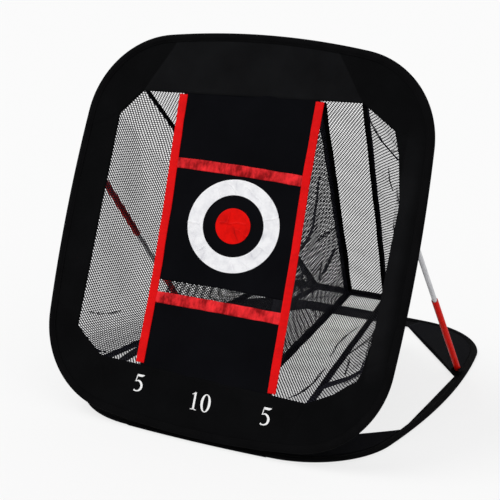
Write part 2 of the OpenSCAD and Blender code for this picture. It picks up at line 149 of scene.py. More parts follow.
class Finish:
    """One material: its nodes are added by node(), and its shader by surface()."""

    def __init__(self, name):
        self.material = bpy.data.materials.new(name)
        self.material.use_nodes = True
        self.nodes = self.material.node_tree.nodes
        self.links = self.material.node_tree.links
        self.nodes.clear()

    def put(self, socket, value):
        if isinstance(value, Socket):
            self.links.new(value.socket, socket)
        elif isinstance(value, (tuple, list)) and len(value) == 3 and socket.type == "RGBA":
            socket.default_value = (*value, 1)
        else:
            socket.default_value = value

    def node(self, kind, settings=None, *values, out=0, **named):
        made = self.nodes.new("ShaderNode" + kind)
        for key, value in (settings or {}).items():
            setattr(made, key, value)
        for socket, value in zip(made.inputs, values):
            if value is not None:
                self.put(socket, value)
        for key, value in named.items():
            self.put(made.inputs[key.replace("_", " ")], value)
        return Socket(self, made.outputs[out])

    def place(self):
        return self.node("TexCoord", out="Object")

    def across(self):
        """The piece's own map, in metres: x runs along the cloth and y across it."""
        uv = self.node("UVMap", dict(uv_map="cloth"))
        parts = self.nodes.new("ShaderNodeSeparateXYZ")
        self.links.new(uv.socket, parts.inputs[0])
        return uv, Socket(self, parts.outputs[0]), Socket(self, parts.outputs[1])

    def noise(self, vector, scale, detail=3.0, roughness=0.55):
        return self.node("TexNoise", {}, Vector=vector, Scale=scale, Detail=detail,
                         Roughness=roughness)

    def mix(self, factor, one, two):
        made = self.nodes.new("ShaderNodeMix")
        made.data_type = "RGBA"
        for key, value in (("Factor_Float", factor), ("A_Color", one), ("B_Color", two)):
            self.put(next(s for s in made.inputs if s.identifier == key), value)
        return Socket(self, next(s for s in made.outputs if s.identifier == "Result_Color"))

    def bump(self, height, strength, distance):
        return self.node("Bump", {}, Strength=strength, Distance=distance, Height=height)

    def surface(self, **inputs):
        shader = self.node("BsdfPrincipled", {}, **inputs)
        output = self.nodes.new("ShaderNodeOutputMaterial")
        self.links.new(shader.socket, output.inputs["Surface"])
        return self.material


print("material tools ready")

# %% Floor, backdrop and lamps
WHITE = (1.0, 1.0, 1.0)
SOFT_LIGHT = 0.68
LAMPS = [
    # name, strength, width of the source, tip from overhead and turn, in degrees
    ("lamp_key", 1.05, 36, 36, -58),
    ("lamp_fill", 0.45, 60, 52, 40),
]


def seen_white(tree_nodes, tree_links):
    """1 for the camera's, glossy and transmitted rays, and 0 for the rays that carry light."""
    path = tree_nodes.new("ShaderNodeLightPath")
    total = path.outputs["Is Camera Ray"]
    for other in ("Is Glossy Ray", "Is Transmission Ray"):
        add = tree_nodes.new("ShaderNodeMath")
        add.operation, add.use_clamp = "ADD", True
        tree_links.new(total, add.inputs[0])
        tree_links.new(path.outputs[other], add.inputs[1])
        total = add.outputs[0]
    return total


world = bpy.data.worlds.new("studio")
scene.world = world
world.use_nodes = True
world_nodes, world_links = world.node_tree.nodes, world.node_tree.links
world_nodes.clear()
soft_light = world_nodes.new("ShaderNodeBackground")
soft_light.inputs["Strength"].default_value = SOFT_LIGHT
plain_white = world_nodes.new("ShaderNodeBackground")
plain_white.inputs["Color"].default_value = (*WHITE, 1)
world_mix = world_nodes.new("ShaderNodeMixShader")
world_out = world_nodes.new("ShaderNodeOutputWorld")
world_links.new(seen_white(world_nodes, world_links), world_mix.inputs[0])
world_links.new(soft_light.outputs[0], world_mix.inputs[1])
world_links.new(plain_white.outputs[0], world_mix.inputs[2])
world_links.new(world_mix.outputs[0], world_out.inputs[0])

for name, strength, width, tip, turn in LAMPS:
    light = bpy.data.lights.new(name, "SUN")
    light.energy, light.angle = strength, math.radians(width)
    lamp = bpy.data.objects.new(name, light)
    lamp.rotation_euler = (math.radians(tip), 0, math.radians(turn))
    scene.collection.objects.link(lamp)

FLOOR_HALF = 40.0
OWN_WHITE = 0.74  # share of the floor's look that is plain white; the rest takes the shadow
floor_mesh = bpy.data.meshes.new("floor")
floor_mesh.from_pydata(
    [(x * FLOOR_HALF, y * FLOOR_HALF, 0) for x, y in ((-1, -1), (1, -1), (1, 1), (-1, 1))],
    [], [(0, 1, 2, 3)],
)
floor = bpy.data.objects.new("floor", floor_mesh)
scene.collection.objects.link(floor)
paper = Finish("paper_floor")
paper.surface(Base_Color=(0.95, 0.95, 0.95), Roughness=1.0, Specular_IOR_Level=0.0)
lit = next(n for n in paper.nodes if n.type == "BSDF_PRINCIPLED")
end = next(n for n in paper.nodes if n.type == "OUTPUT_MATERIAL")
own_white = paper.nodes.new("ShaderNodeEmission")
own_white.inputs["Color"].default_value = (*WHITE, 1)
share = paper.node("Math", dict(operation="MULTIPLY"),
                   Socket(paper, seen_white(paper.nodes, paper.links)), OWN_WHITE)
blend = paper.node("MixShader", {}, share, Socket(paper, lit.outputs[0]),
                   Socket(paper, own_white.outputs[0]))
paper.links.new(blend.socket, end.inputs["Surface"])
floor_mesh.materials.append(paper.material)
print("floor and", len(LAMPS), "lamps")

# %% [markdown]
# ## From arrays to meshes
# Each new piece is worked out as whole numpy arrays. A grid of points becomes a mesh of quads;
# a cloth is a middle surface pushed out to both sides and closed round its edge; netting is many
# thin four-sided strands. One check keeps every piece the right way out: the volume that its
# faces enclose has to come out positive.


# %% Mesh builders
def grid_quads(rows, columns, wrap_rows=False, wrap_columns=False):
    """Quads of a grid of points numbered row by row, joined end to start where it wraps."""
    i = np.arange(rows if wrap_rows else rows - 1)[:, None]
    j = np.arange(columns if wrap_columns else columns - 1)[None, :]
    i2, j2 = (i + 1) % rows, (j + 1) % columns
    quads = [i * columns + j, i2 * columns + j, i2 * columns + j2, i * columns + j2]
    return np.stack(np.broadcast_arrays(*quads), -1).reshape(-1, 4)


def enclosed(points, quads):
    """Volume inside the faces: a sixth of the sum of a . (b x c) over their triangles."""
    a, b, c, d = (points[quads[:, k]] for k in range(4))
    return (np.cross(b, c) * a).sum() / 6 + (np.cross(c, d) * a).sum() / 6


def make_piece(name, points, quads, finish, body, uv, slot, replaces=(), smooth=True):
    """Mesh from arrays, turned the right way out, on its body and with its finish."""
    points = np.asarray(points, float).reshape(-1, 3)
    if enclosed(points, quads) < 0:
        quads = quads[:, ::-1]
    mesh = bpy.data.meshes.new(name)
    mesh.vertices.add(len(points))
    mesh.vertices.foreach_set("co", points.astype(np.float32).ravel())
    mesh.loops.add(quads.size)
    mesh.loops.foreach_set("vertex_index", quads.astype(np.int32).ravel())
    mesh.polygons.add(len(quads))
    mesh.polygons.foreach_set("loop_start", np.arange(0, quads.size, 4, dtype=np.int32))
    mesh.polygons.foreach_set("use_smooth", np.full(len(quads), smooth))
    mesh.update(calc_edges=True)
    layer = mesh.uv_layers.new(name="cloth")
    corner_uv = np.asarray(uv, np.float32).reshape(-1, 2)[quads.ravel()]
    layer.data.foreach_set("uv", corner_uv.ravel())
    mesh.materials.append(finish)
    piece = bpy.data.objects.new(name, mesh)
    scene.collection.objects.link(piece)
    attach(piece, body)
    if replaces:
        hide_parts(*replaces)
    return piece


def cloth_arrays(middle, normal, thick, uv, wrap, edge=0.55):
    """Both sides of a sheet: the middle plus and minus half its thickness along the normal,
    thinner at the edge, with a strip of quads that closes the edge all round."""
    rows, columns = middle.shape[:2]
    half = np.broadcast_to(np.asarray(thick, float) / 2, (rows, columns)).copy()
    half[:, [0, -1]] *= edge
    if not wrap:
        half[[0, -1], :] *= edge
    push = half[..., None] * normal
    points = np.concatenate([(middle + push).reshape(-1, 3), (middle - push).reshape(-1, 3)])
    top = grid_quads(rows, columns, wrap_rows=wrap)
    count = rows * columns
    number = np.arange(count).reshape(rows, columns)
    loops = [number[:, 0], number[::-1, -1]]
    if wrap:
        rims = [np.append(loop, loop[0]) for loop in loops]
    else:
        rims = [np.concatenate([
            number[:, 0], number[-1, 1:], number[-2::-1, -1], number[0, -2::-1]
        ])]
    sides = [np.stack([r[:-1], r[:-1] + count, r[1:] + count, r[1:]], -1) for r in rims]
    quads = np.concatenate([top, top[:, ::-1] + count] + sides)
    return points, quads, np.concatenate([uv.reshape(-1, 2)] * 2)


def add_cloth(name, middle, normal, thick, finish, body, uv, wrap=False, **more):
    points, quads, uv = cloth_arrays(middle, normal, thick, uv, wrap)
    return make_piece(name, points, quads, finish, body, uv=uv, **more)


def merge_parts(parts):
    """Several (points, quads, uv) lots as one."""
    shift, points, quads, uvs = 0, [], [], []
    for p, q, uv in parts:
        points.append(p.reshape(-1, 3))
        quads.append(q + shift)
        uvs.append(uv.reshape(-1, 2))
        shift += len(points[-1])
    return np.concatenate(points), np.concatenate(quads), np.concatenate(uvs)


def unit(vectors):
    """Each vector over its own length."""
    return vectors / np.maximum(np.linalg.norm(vectors, axis=-1, keepdims=True), 1e-12)


def run_along(path):
    """Distance walked along a path up to each of its points."""
    return np.concatenate([[0], np.cumsum(np.linalg.norm(np.diff(path, axis=0), axis=1))])


def paired(a, b):
    """Two grids of numbers as one grid of pairs."""
    return np.stack(np.broadcast_arrays(a, b), -1)


def left_of(vectors):
    """Flat vectors turned by a quarter turn to the left."""
    return np.stack([-vectors[..., 1], vectors[..., 0]], -1)


def polar(radius, angle):
    """Flat points at a distance and an angle from the centre."""
    return np.stack([radius * np.cos(angle), radius * np.sin(angle)], -1)


def edges_of(corners):
    return list(zip(corners, np.roll(corners, -1, axis=0)))


def along_line(x, y, start, end):
    """How far a point lies along the line from start to end."""
    (ax, ay), (bx, by) = start, end
    return ((x - ax) * (bx - ax) + (y - ay) * (by - ay)) / math.hypot(bx - ax, by - ay)


def off_line(x, y, start, end):
    """How far a point lies off to the right of the line from start to end."""
    (ax, ay), (bx, by) = start, end
    return ((x - ax) * (by - ay) - (y - ay) * (bx - ax)) / math.hypot(bx - ax, by - ay)


def polygon_turn(corners):
    """Shoelace sum of x y' - x' y: twice the area, and positive if counter-clockwise."""
    nxt = np.roll(corners, -1, axis=0)
    return (corners[:, 0] * nxt[:, 1] - nxt[:, 0] * corners[:, 1]).sum()


def polygon_area(corners):
    return abs(polygon_turn(corners)) / 2


def facing(first, second, third):
    """Normal of the plane through three points."""
    return unit(np.cross(second - first, third - first))


def smoothstep(x):
    x = np.clip(x, 0, 1)
    return x * x * (3 - 2 * x)


def ripple(x, y, seed, wave, count=7):
    """Soft uneven waves about 1 high: sines in seeded directions whose length is near wave."""
    draw = np.random.default_rng(seed)
    total = np.zeros(np.broadcast(x, y).shape)
    for _ in range(count):
        angle, phase = draw.uniform(0, 2 * math.pi, 2)
        k = 2 * math.pi / (wave * draw.uniform(0.6, 1.7))
        total = total + np.sin(k * (x * math.cos(angle) + y * math.sin(angle)) + phase)
    return total / math.sqrt(count)


print("mesh builders ready")

# %% [markdown]
# ## Finishes
# The cloth is plain-woven nylon, the tapes are ribbed binding, the target is satin, and the rods
# are glossy. Every pattern is sized in metres on the cloth's own map, so a thread is as wide on
# a narrow hem as on a broad panel.


# %% Cloth finishes
# How many times lighter the painted sheen makes the border's top piece and right inner strip
SHEEN_GAIN = 1.9


def woven(name, dark, light, thread, rough, bump, blotch=18.0, specular=0.015, paler=None):
    """Plain weave: two crossed rows of rounded threads, one over the other by turns, each painted
    lighter where it rises, as shade. Where the given sheen mask, a function of the cloth's own map,
    gives 1, a painted sheen makes the cloth lighter by the gain set above."""
    f = Finish(name)
    _, along, across = f.across()
    k = math.pi / thread
    weft, warp = (along * k).sine(), (across * k).sine()
    over = (weft * warp) > 0.0
    height = over * weft.size() + (1.0 - over) * warp.size()
    patches = f.noise(f.place(), blotch, 4.0)
    # Painted shade: each thread is coloured lighter where it rises over the other and darker where
    # it dips, mixed with random patches
    tone = (patches * 0.75 + height * 0.25).between(0.25, 0.8)
    shade = f.mix(tone, dark, light)
    # Painted sheen: the masked pieces take lighter copies of both tones
    if paler:
        sheen_tones = [tuple(SHEEN_GAIN * channel for channel in colour) for colour in (dark, light)]
        shade = f.mix(paler(along, across), shade, f.mix(tone, *sheen_tones))
    return f.surface(
        Base_Color=shade,
        Roughness=patches.between(0.3, 0.7, rough - 0.06, rough + 0.06),
        Normal=f.bump(height, bump, thread * 0.35),
        Specular_IOR_Level=specular,
    )


BORDER_TONES = (0.0019, 0.0019, 0.0021), (0.0049, 0.0050, 0.0055)
border_black = woven("border_weave", *BORDER_TONES, 0.0009, 0.8, 0.35)
rim_black = woven("rim_weave", (0.0019, 0.0019, 0.0021), (0.0052, 0.0052, 0.0057),
                  0.0008, 0.78, 0.4, blotch=26)
panel_black = woven("panel_weave", (0.0016, 0.0016, 0.0022), (0.0045, 0.0047, 0.0062),
                    0.0006, 0.74, 0.25, blotch=12)
tape_black = woven("binding_twill", (0.001, 0.001, 0.0012), (0.0035, 0.0035, 0.004),
                   0.0011, 0.85, 0.6, blotch=30)
webbing_black = woven("webbing", (0.003, 0.003, 0.0034), (0.008, 0.008, 0.009),
                      0.0014, 0.8, 0.7)


def ribbed(name, dark, mid, rib, crumple):
    """Binding tape: fine ribs across its length, with painted shade: darker patches where it is
    gathered.
    """
    f = Finish(name)
    uv, along, _ = f.across()
    ribs = (along * (2 * math.pi / rib)).sine() * 0.5 + 0.5
    stretched = f.node("Mapping", {}, uv, Scale=(120.0, 42.0, 1.0))
    gathers_and_shade = f.noise(stretched, 1.0, 5.0, 0.7)
    wide = f.noise(f.place(), 34.0, 3.0)
    # Painted shade: the gathered patches are coloured towards the dark tone
    tone = (gathers_and_shade * wide).between(0.16, 0.34) * crumple
    height = ribs * 0.4 + gathers_and_shade * crumple
    return f.surface(
        Base_Color=f.mix(tone, mid, dark),
        Roughness=wide.between(0.3, 0.7, 0.5, 0.62),
        Normal=f.bump(height, 0.5, 0.0004),
        Specular_IOR_Level=0.08,
    )


# The dark tone of each tape is painted shade in its gathers
red_upright = ribbed("red_upright_tape", (0.45, 0.002, 0.002), (0.80, 0.002, 0.003), 0.0011, 0.35)
red_cross = ribbed("red_cross_tape", (0.26, 0.002, 0.004), (0.95, 0.026, 0.032), 0.0012, 1.0)


def satin(name, dark, light, rough, crease, gloss):
    """Smooth coated cloth. A ridge is where a noise crosses its middle value: 1 less twice the
    distance from it, raised to a high power, so the creases are thin, bent and broken. The creases
    and the soft patches are bumped and also painted towards the dark tone as shade."""
    f = Finish(name)
    uv, _, _ = f.across()
    turned = f.node("Mapping", {}, uv, Rotation=(0, 0, 0.5), Scale=(1.0, 0.55, 1.0))
    broad, fine = f.noise(turned, 22.0, 2.0, 0.4), f.noise(uv, 60.0, 4.0, 0.6)
    crease_and_shade = (1.0 - (broad - 0.5).size() * 2.0) ** 26.0
    patch = f.noise(uv, 30.0, 1.0).between(0.45, 0.7)
    # Painted shade: creases and soft patches are coloured towards the dark tone
    shade = (crease_and_shade * patch * 0.75 + fine.between(0.42, 0.75) * 0.55).between(0.0, 1.0)
    return f.surface(
        Base_Color=f.mix(shade, light, dark),
        Roughness=fine.between(0.3, 0.7, rough - 0.06, rough + 0.1),
        Normal=f.bump(fine * 0.5 - crease_and_shade * patch, crease, 0.0010),
        Specular_IOR_Level=gloss,
    )


# The dark tones of the ring and the spot are painted shade in their creases and soft patches
ring_white = satin("ring_satin", (0.60, 0.60, 0.65), (0.93, 0.93, 0.95), 0.5, 0.5, 0.3)
spot_red = satin("spot_satin", (0.40, 0.001, 0.001), (0.80, 0.003, 0.001), 0.5, 0.4, 0.06)


def net_strand(name, dark, light):
    f = Finish(name)
    _, along, across = f.across()
    twist = (along * (2 * math.pi / 0.0016) + across * 900.0).sine() * 0.5 + 0.5
    patches = f.noise(f.place(), 14.0)
    return f.surface(
        Base_Color=f.mix(patches.between(0.3, 0.7), dark, light),
        Roughness=twist.between(0.0, 1.0, 0.55, 0.7),
        Normal=f.bump(twist, 0.3, 0.0002),
        Specular_IOR_Level=0.08,
    )


net_black = net_strand("net_strand", (0.006, 0.006, 0.010), (0.016, 0.016, 0.025))
print("cloth finishes ready")


# %% Ink, rod and steel finishes
def number_ink():
    f = Finish("number_ink")
    wear = f.noise(f.place(), 420.0, 4.0, 0.7)
    return f.surface(
        Base_Color=f.mix(wear.between(0.25, 0.5), (0.78, 0.78, 0.78), (0.95, 0.95, 0.95)),
        Roughness=wear.between(0.3, 0.7, 0.45, 0.6), Normal=f.bump(wear, 0.2, 0.0002),
    )


def glossy_rod(name, low, high, rough, streak, gloss, coat):
    """Drawn rod or shrunk tube: streaks along its length and small scuffs."""
    f = Finish(name)
    stretched = f.node("Mapping", {}, f.place(), Scale=(900.0, 60.0, 60.0))
    streaks = f.noise(stretched, 1.0, 3.0)
    scuffs = f.noise(f.place(), 240.0, 5.0, 0.7)
    return f.surface(
        Base_Color=f.mix((streaks * streak + scuffs * (1 - streak)).between(0.3, 0.7), low, high),
        Roughness=scuffs.between(0.35, 0.7, rough, rough + 0.18),
        Normal=f.bump(scuffs, 0.15, 0.0002),
        Specular_IOR_Level=gloss, Coat_Weight=coat, Coat_Roughness=0.15,
    )


def spring_steel():
    f = Finish("spring_steel")
    stretched = f.node("Mapping", {}, f.place(), Scale=(40.0, 40.0, 900.0))
    grain = f.noise(stretched, 1.0)
    return f.surface(
        Base_Color=f.mix(grain, (0.22, 0.24, 0.29), (0.42, 0.44, 0.48)), Metallic=1.0,
        Roughness=grain.between(0.3, 0.7, 0.28, 0.42), Normal=f.bump(grain, 0.1, 0.0001),
    )


ink = number_ink()
rod_white = glossy_rod("rod_white", (0.46, 0.47, 0.49), (0.72, 0.72, 0.74), 0.3, 0.5, 0.5, 0.3)
tube_red = glossy_rod("tube_red", (0.54, 0.004, 0.001), (0.82, 0.011, 0.005), 0.32, 0.3, 0.03, 0.01)
steel = spring_steel()

KEPT = {
    "rod_left": rod_white, "rod_right": rod_white,
    "rod_left_lower_sleeve": tube_red, "rod_left_upper_sleeve": tube_red,
    "rod_right_lower_sleeve": tube_red, "rod_right_upper_sleeve": tube_red,
    "base_hoop": steel, "front_hoop": steel, "base_ferrule": steel, "front_ferrule": steel,
}
for node_name, finish in KEPT.items():
    node_mesh = frame["nodes"][node_name].data
    node_mesh.materials.clear()
    node_mesh.materials.append(finish)
print(len(KEPT), "construction solids keep their shape")

# %% [markdown]
# ## The hoops' outline
# A hoop is a rectangle with big round corners whose four sides bow out a little, because the
# spring strip inside wants to be a circle. One quarter is three arcs that share tangents, and
# the rest is mirrored. All other hoop pieces are offsets of this line.

# %% Outline
FRONT = (0.300, 0.3125, 0.146, 0.005, 0.010)
BASE = (0.284, 0.344, 0.150, 0.015, 0.004)
RIM_STEPS = 720  # points round an outline
BASE_CENTRE = HINGE[1] + BASE[1]
FACE_CENTRE = FRONT[1]


def quarter_line(a, b, r, bow_a, bow_b):
    """Side arc, corner arc and end arc. A bowed arc's radius is (reach^2 + (r + bow)^2 - r^2)
    / (2 bow), where reach is how far along the side the corner's centre lies."""
    cx, cy = a - r - bow_a, b - r - bow_b
    side = (cy**2 + (r + bow_a) ** 2 - r**2) / (2 * bow_a)
    end = (cx**2 + (r + bow_b) ** 2 - r**2) / (2 * bow_b)
    t1, t2 = math.atan2(cy, cx - a + side), math.atan2(cy - b + end, cx)
    arcs = [(a - side, 0, side, 0, t1), (cx, cy, r, t1, t2), (0, b - end, end, t2, math.pi / 2)]
    lines = []
    for x, y, radius, start, stop in arcs:
        t = np.linspace(start, stop, 60)[:-1]
        lines.append(np.stack([x + radius * np.cos(t), y + radius * np.sin(t)], -1))
    return np.concatenate(lines + [[[0, b]]])


def hoop_line(size, count):
    """The closed outline, evenly spaced, with the inward direction at each point."""
    q = quarter_line(*size)
    half = np.concatenate([q, q[-2::-1] * [-1, 1]])
    full = np.concatenate([half, half[-2:0:-1] * [1, -1]])
    loop = np.concatenate([full, full[:1]])
    run = run_along(loop)
    at = np.linspace(0, run[-1], count, endpoint=False)
    line = np.stack([np.interp(at, run, loop[:, k]) for k in (0, 1)], -1)
    tangent = unit(np.roll(line, -1, axis=0) - np.roll(line, 1, axis=0))
    return line, left_of(tangent), run[-1]


FACE_UP = np.array([0, math.sin(LEAN), math.cos(LEAN)])
FACE_OUT = np.array([0, -math.cos(LEAN), math.sin(LEAN)])
ACROSS = np.array([1.0, 0, 0])
UP = np.array([0, 0, 1.0])
BACK = np.array([0, 1.0, 0])


def face(u, v, n):
    """A point of the target face: u across, v up from the hinge, n out of its front."""
    u, v, n = np.broadcast_arrays(u, v, n)
    return HINGE + u[..., None] * ACROSS + v[..., None] * FACE_UP + n[..., None] * FACE_OUT


def ground(x, y, z):
    """A point over the base hoop: x across, y back from its centre, z above the floor."""
    x, y, z = np.broadcast_arrays(x, y, z)
    return np.stack([x, y + BASE_CENTRE, z], -1)


SHEETS = {
    "front": dict(size=FRONT, centre=FACE_CENTRE, place=face, normal=FACE_OUT, body="front"),
    "base": dict(size=BASE, centre=0.0, place=ground, normal=UP, body="base"),
}
front_line, front_in, front_run = hoop_line(FRONT, RIM_STEPS)
base_line, base_in, base_run = hoop_line(BASE, RIM_STEPS)
print("rims are", round(front_run, 3), "and", round(base_run, 3), "m round")

# %% [markdown]
# ## Rim sleeves
# On the real net a strip of cloth is folded round the spring strip and sewn down on both faces
# of the border, so the rim is a fat, slightly uneven roll with a flat flange inside it. A pipe
# would lose the flange, and a slab would lose the roll. Here a thin C-shaped profile, cloth on
# its outside and inside, is carried round the outline, and puckers a little along the seam.

# %% Rim sleeves
# Thickness of the rim and of its cloth, and where its flat flange begins, in millimetres
SLEEVE_T, WALL, FLANGE_FROM = 7.0, 0.7, 9.5
MIDDLE = SLEEVE_T / 2 * MM  # level of the rim's middle, where the cloth inside it lies
STITCHED_AT = 10.2  # inset of the seam that puckers
PUCKER = 0.013


def sleeve_profile():
    """Inset and level, in millimetres, of the folded strip: outer side, then back inside."""
    outer = np.array([
        (13.0, 5.2), (11.6, 5.25), (10.4, 5.5), (9.4, 6.35), (8.2, 6.85), (6.6, 7.0), (4.6, 6.97),
        (2.9, 6.6), (1.4, 5.85), (0.4, 4.8), (0.0, 3.5), (0.4, 2.2), (1.4, 1.15), (2.9, 0.4),
        (4.6, 0.03), (6.6, 0.0), (8.2, 0.15), (9.4, 0.65), (10.4, 1.5), (11.6, 1.75), (13.0, 1.8),
    ])
    toward = np.array([6.2, SLEEVE_T / 2]) - outer
    step = unit(toward) * WALL
    flange = outer[:, 0] > FLANGE_FROM
    step[flange] = 0
    step[flange, 1] = np.sign(SLEEVE_T / 2 - outer[flange, 1]) * WALL
    return np.concatenate([outer, (outer + step)[::-1]])


def rim_sleeve(name, which, seed, replaces):
    sheet = SHEETS[which]
    line, inward, run = hoop_line(sheet["size"], RIM_STEPS)
    profile = sleeve_profile()
    s = np.linspace(0, run, len(line), endpoint=False)[:, None]
    pucker = np.sin(s * 2 * math.pi / PUCKER + 2.2 * np.sin(s * 23)) * ripple(s, s * 0, seed, 0.2)
    inset = profile[None, :, 0] * MM
    seam = np.exp(-(((profile[None, :, 0] - STITCHED_AT) / 1.3) ** 2))
    level = profile[None, :, 1] - SLEEVE_T / 2
    level = level * (1 - 0.07 * seam * (1 + pucker)) + SLEEVE_T / 2
    spot = line[:, None] + inset[..., None] * inward[:, None]
    points = sheet["place"](spot[..., 0], spot[..., 1] + sheet["centre"], level * MM)
    quads = grid_quads(len(line), len(profile), wrap_rows=True, wrap_columns=True)
    around = run_along(profile) * MM
    piece = make_piece(name, points, quads, rim_black, sheet["body"],
                       uv=paired(s, around[None, :]), replaces=replaces, slot="sleeve_cloth")
    width = around[len(profile) // 2 - 1]
    return width


front_strip = rim_sleeve("rim_front", "front", 3, ["front_sleeve"])
base_strip = rim_sleeve("rim_base", "base", 4, ["base_sleeve"])
print("rims are cut", round(front_strip, 4), "and", round(base_strip, 4), "m wide")

# %% [markdown]
# ## Flat cloth between an outline and an opening
# Both hoops carry a wide band of cloth with a hole in it. Seen from the middle, every direction
# meets the outline once and the opening once, so one function of angle and share does both: a
# point lies on the ray between them. The opening's corners get rays of their own, so they stay
# sharp, and its edge gets a turned hem.


# %% Band between outline and opening
def polygon_reach(corners, angle):
    """Distance from the centre to a convex polygon's edge: the least of d / (n . direction)."""
    normal = left_of(corners - np.roll(corners, -1, axis=0))
    d = (normal * corners).sum(1)
    toward = np.cos(angle)[:, None] * normal[:, 0] + np.sin(angle)[:, None] * normal[:, 1]
    return np.where(toward > 1e-9, d / np.maximum(toward, 1e-9), np.inf).min(1)


def outline_reach(size, inset, angle):
    line, inward, _ = hoop_line(size, 2 * RIM_STEPS)
    moved = line + inward * inset
    a = np.arctan2(moved[:, 1], moved[:, 0])
    order = np.argsort(a)
    return np.interp(angle, a[order], np.hypot(*moved.T)[order], period=2 * math.pi)


def ray_angles(corners, count):
    """Angles all the way round, with one exactly at each corner of the opening."""
    own = np.sort(np.arctan2(corners[:, 1], corners[:, 0]))
    ends = np.append(own, own[0] + 2 * math.pi)
    parts = [np.linspace(a, b, max(2, int(count * (b - a) / (2 * math.pi))), endpoint=False)
             for a, b in zip(ends[:-1], ends[1:])]
    return np.concatenate(parts)


HEM = 0.009
BAND_INSET = 0.0086  # the band's outer edge lies inside the rim, this far from the outline


def band_grid(size, corners, count, steps):
    """Points in the plane from the outline to the opening, with two close rows at the hem."""
    angle = ray_angles(corners, count)
    outer, inner = outline_reach(size, BAND_INSET, angle), polygon_reach(corners, angle)
    hem = np.clip(1 - HEM / (outer - inner), 0.55, 0.97)
    share = np.linspace(0, 1, steps - 3)[None, :] * hem[:, None]
    tail = hem[:, None] + (1 - hem[:, None]) * np.array([0.12, 0.55, 1.0])
    share = np.concatenate([share, tail], 1)
    reach = outer[:, None] + (inner - outer)[:, None] * share
    return polar(reach, angle[:, None]), share, hem[:, None]


# Corners of the opening, in millimetres across and up from the hinge, counter-clockwise
OPENING = np.array([
    (171, 86), (209, 106.5), (241.5, 132.5), (247, 147), (254, 196), (257, 395), (243, 465),
    (231, 498), (174, 534.5), (-200, 519.5), (-236, 479), (-237.5, 132), (-186, 94),
]) * MM

# Where each corner piece is sewn to its neighbours: from the opening's corner to the rim
CORNER_SEAMS = np.array([
    [(-200, 520), (-158, 598)], [(-236, 480), (-292, 447)],
    [(174, 534), (124, 604)], [(231, 500), (286, 475)],
    [(-237, 132), (-292, 168)], [(-186, 94), (-152, 22)],
    [(247, 147), (291, 172)], [(171, 86), (142, 14)],
]) * MM - [0, FACE_CENTRE]


def border_level(x, y):
    """Height of the border's middle over its own plane, in millimetres: slack waves, and at
    each corner seam a narrow groove with a puffed fold beside it."""
    level = ripple(x, y, 11, 0.17) * 0.35
    for start, end in CORNER_SEAMS:
        run = math.dist(start, end)
        far = along_line(x, y, start, end)
        side = off_line(x, y, start, end) + 0.0015 * np.sin(far * 60)
        near = smoothstep((far + 0.004) / 0.006) * smoothstep((run - far) / 0.01)
        groove = np.exp(-((side / 0.0016) ** 2)) - 0.8 * np.exp(-(((side - 0.006) / 0.004) ** 2))
        level = level - 0.6 * near * groove
    return level


def painted_sheen_pieces(x, y):
    """Painted sheen: the top piece between its two corner seams, and the inner strip of the right
    side, are coloured lighter as if their cloth leaned a little more to the light."""
    (left_low, left_high), (right_low, right_high) = CORNER_SEAMS[0], CORNER_SEAMS[2]
    top = off_line(x, y, left_low, left_high).between(-0.001, 0.001)
    top = top * off_line(x, y, right_high, right_low).between(-0.001, 0.001)
    top = top * y.between(0.15, 0.16)
    strip = x.between(0.250, 0.254) * x.between(0.268, 0.282, 1.0, 0.0)
    strip = strip * y.between(-0.19, -0.14) * y.between(0.10, 0.20, 1.0, 0.0)
    return (top + strip).between(0.0, 1.0)


# The front border's weave, with a painted sheen on its top piece and its right inner strip
sheen_painted_black = woven("border_weave_faced", *BORDER_TONES, 0.0009, 0.8, 0.35, paler=painted_sheen_pieces)
plane, share, hem_at = band_grid(FRONT, OPENING - [0, FACE_CENTRE], 1000, 32)
level = border_level(plane[..., 0], plane[..., 1]) * smoothstep(share * 6)
hem_thick = 2.0 + 0.7 * smoothstep((share - hem_at) / np.maximum(1 - hem_at, 1e-6) * 2)
middle = face(plane[..., 0], plane[..., 1] + FACE_CENTRE, MIDDLE + level * MM)
border = add_cloth("border_front", middle, FACE_OUT, hem_thick * MM, sheen_painted_black, "front",
                   plane, wrap=True, replaces=["front_border"], slot="border_cloth")

front_area = polygon_area(front_line + front_in * BAND_INSET) - polygon_area(OPENING)
print("front border", round(front_area, 4), "m2")

# %% [markdown]
# ## Base band, gussets and hinge tape
# The base hoop carries a narrower band, and a triangular gusset in each corner keeps it square.
# Each gusset is a sheet of its own, laid on the band with its long edge a little curved in.

# %% Base cloth
SIDE, END = 0.264, 0.298
REAR_W, REAR_L, FORE_W, FORE_L = 0.158, 0.200, 0.175, 0.140
GUSSET_INSET = 0.0125
BAND_LEVEL, BAND_THICK, GUSSET_LEVEL = 3.4 * MM, 1.7 * MM, 5.25 * MM
BINDING_THICK, PANEL_THICK = 0.7 * MM, 0.8 * MM
BASE_OPENING = np.array([
    (SIDE - FORE_W, -END), (SIDE, -END + FORE_L), (SIDE, END - REAR_L), (SIDE - REAR_W, END),
    (-SIDE + REAR_W, END), (-SIDE, END - REAR_L), (-SIDE, -END + FORE_L), (-SIDE + FORE_W, -END),
])
plane, share, hem_at = band_grid(BASE, BASE_OPENING, 560, 16)
level = ripple(plane[..., 0], plane[..., 1], 21, 0.15) * 0.25 * smoothstep(share * 6)
middle = ground(plane[..., 0], plane[..., 1], BAND_LEVEL + level * MM)
band = add_cloth("band_base", middle, UP, BAND_THICK, border_black, "base", plane, wrap=True,
                 replaces=["base_band"], slot="border_cloth")
base_area = polygon_area(base_line + base_in * BAND_INSET) - polygon_area(BASE_OPENING)
base_area / 2.0
print("base band", round(base_area, 4), "m2, pieced from strips 2 m long")


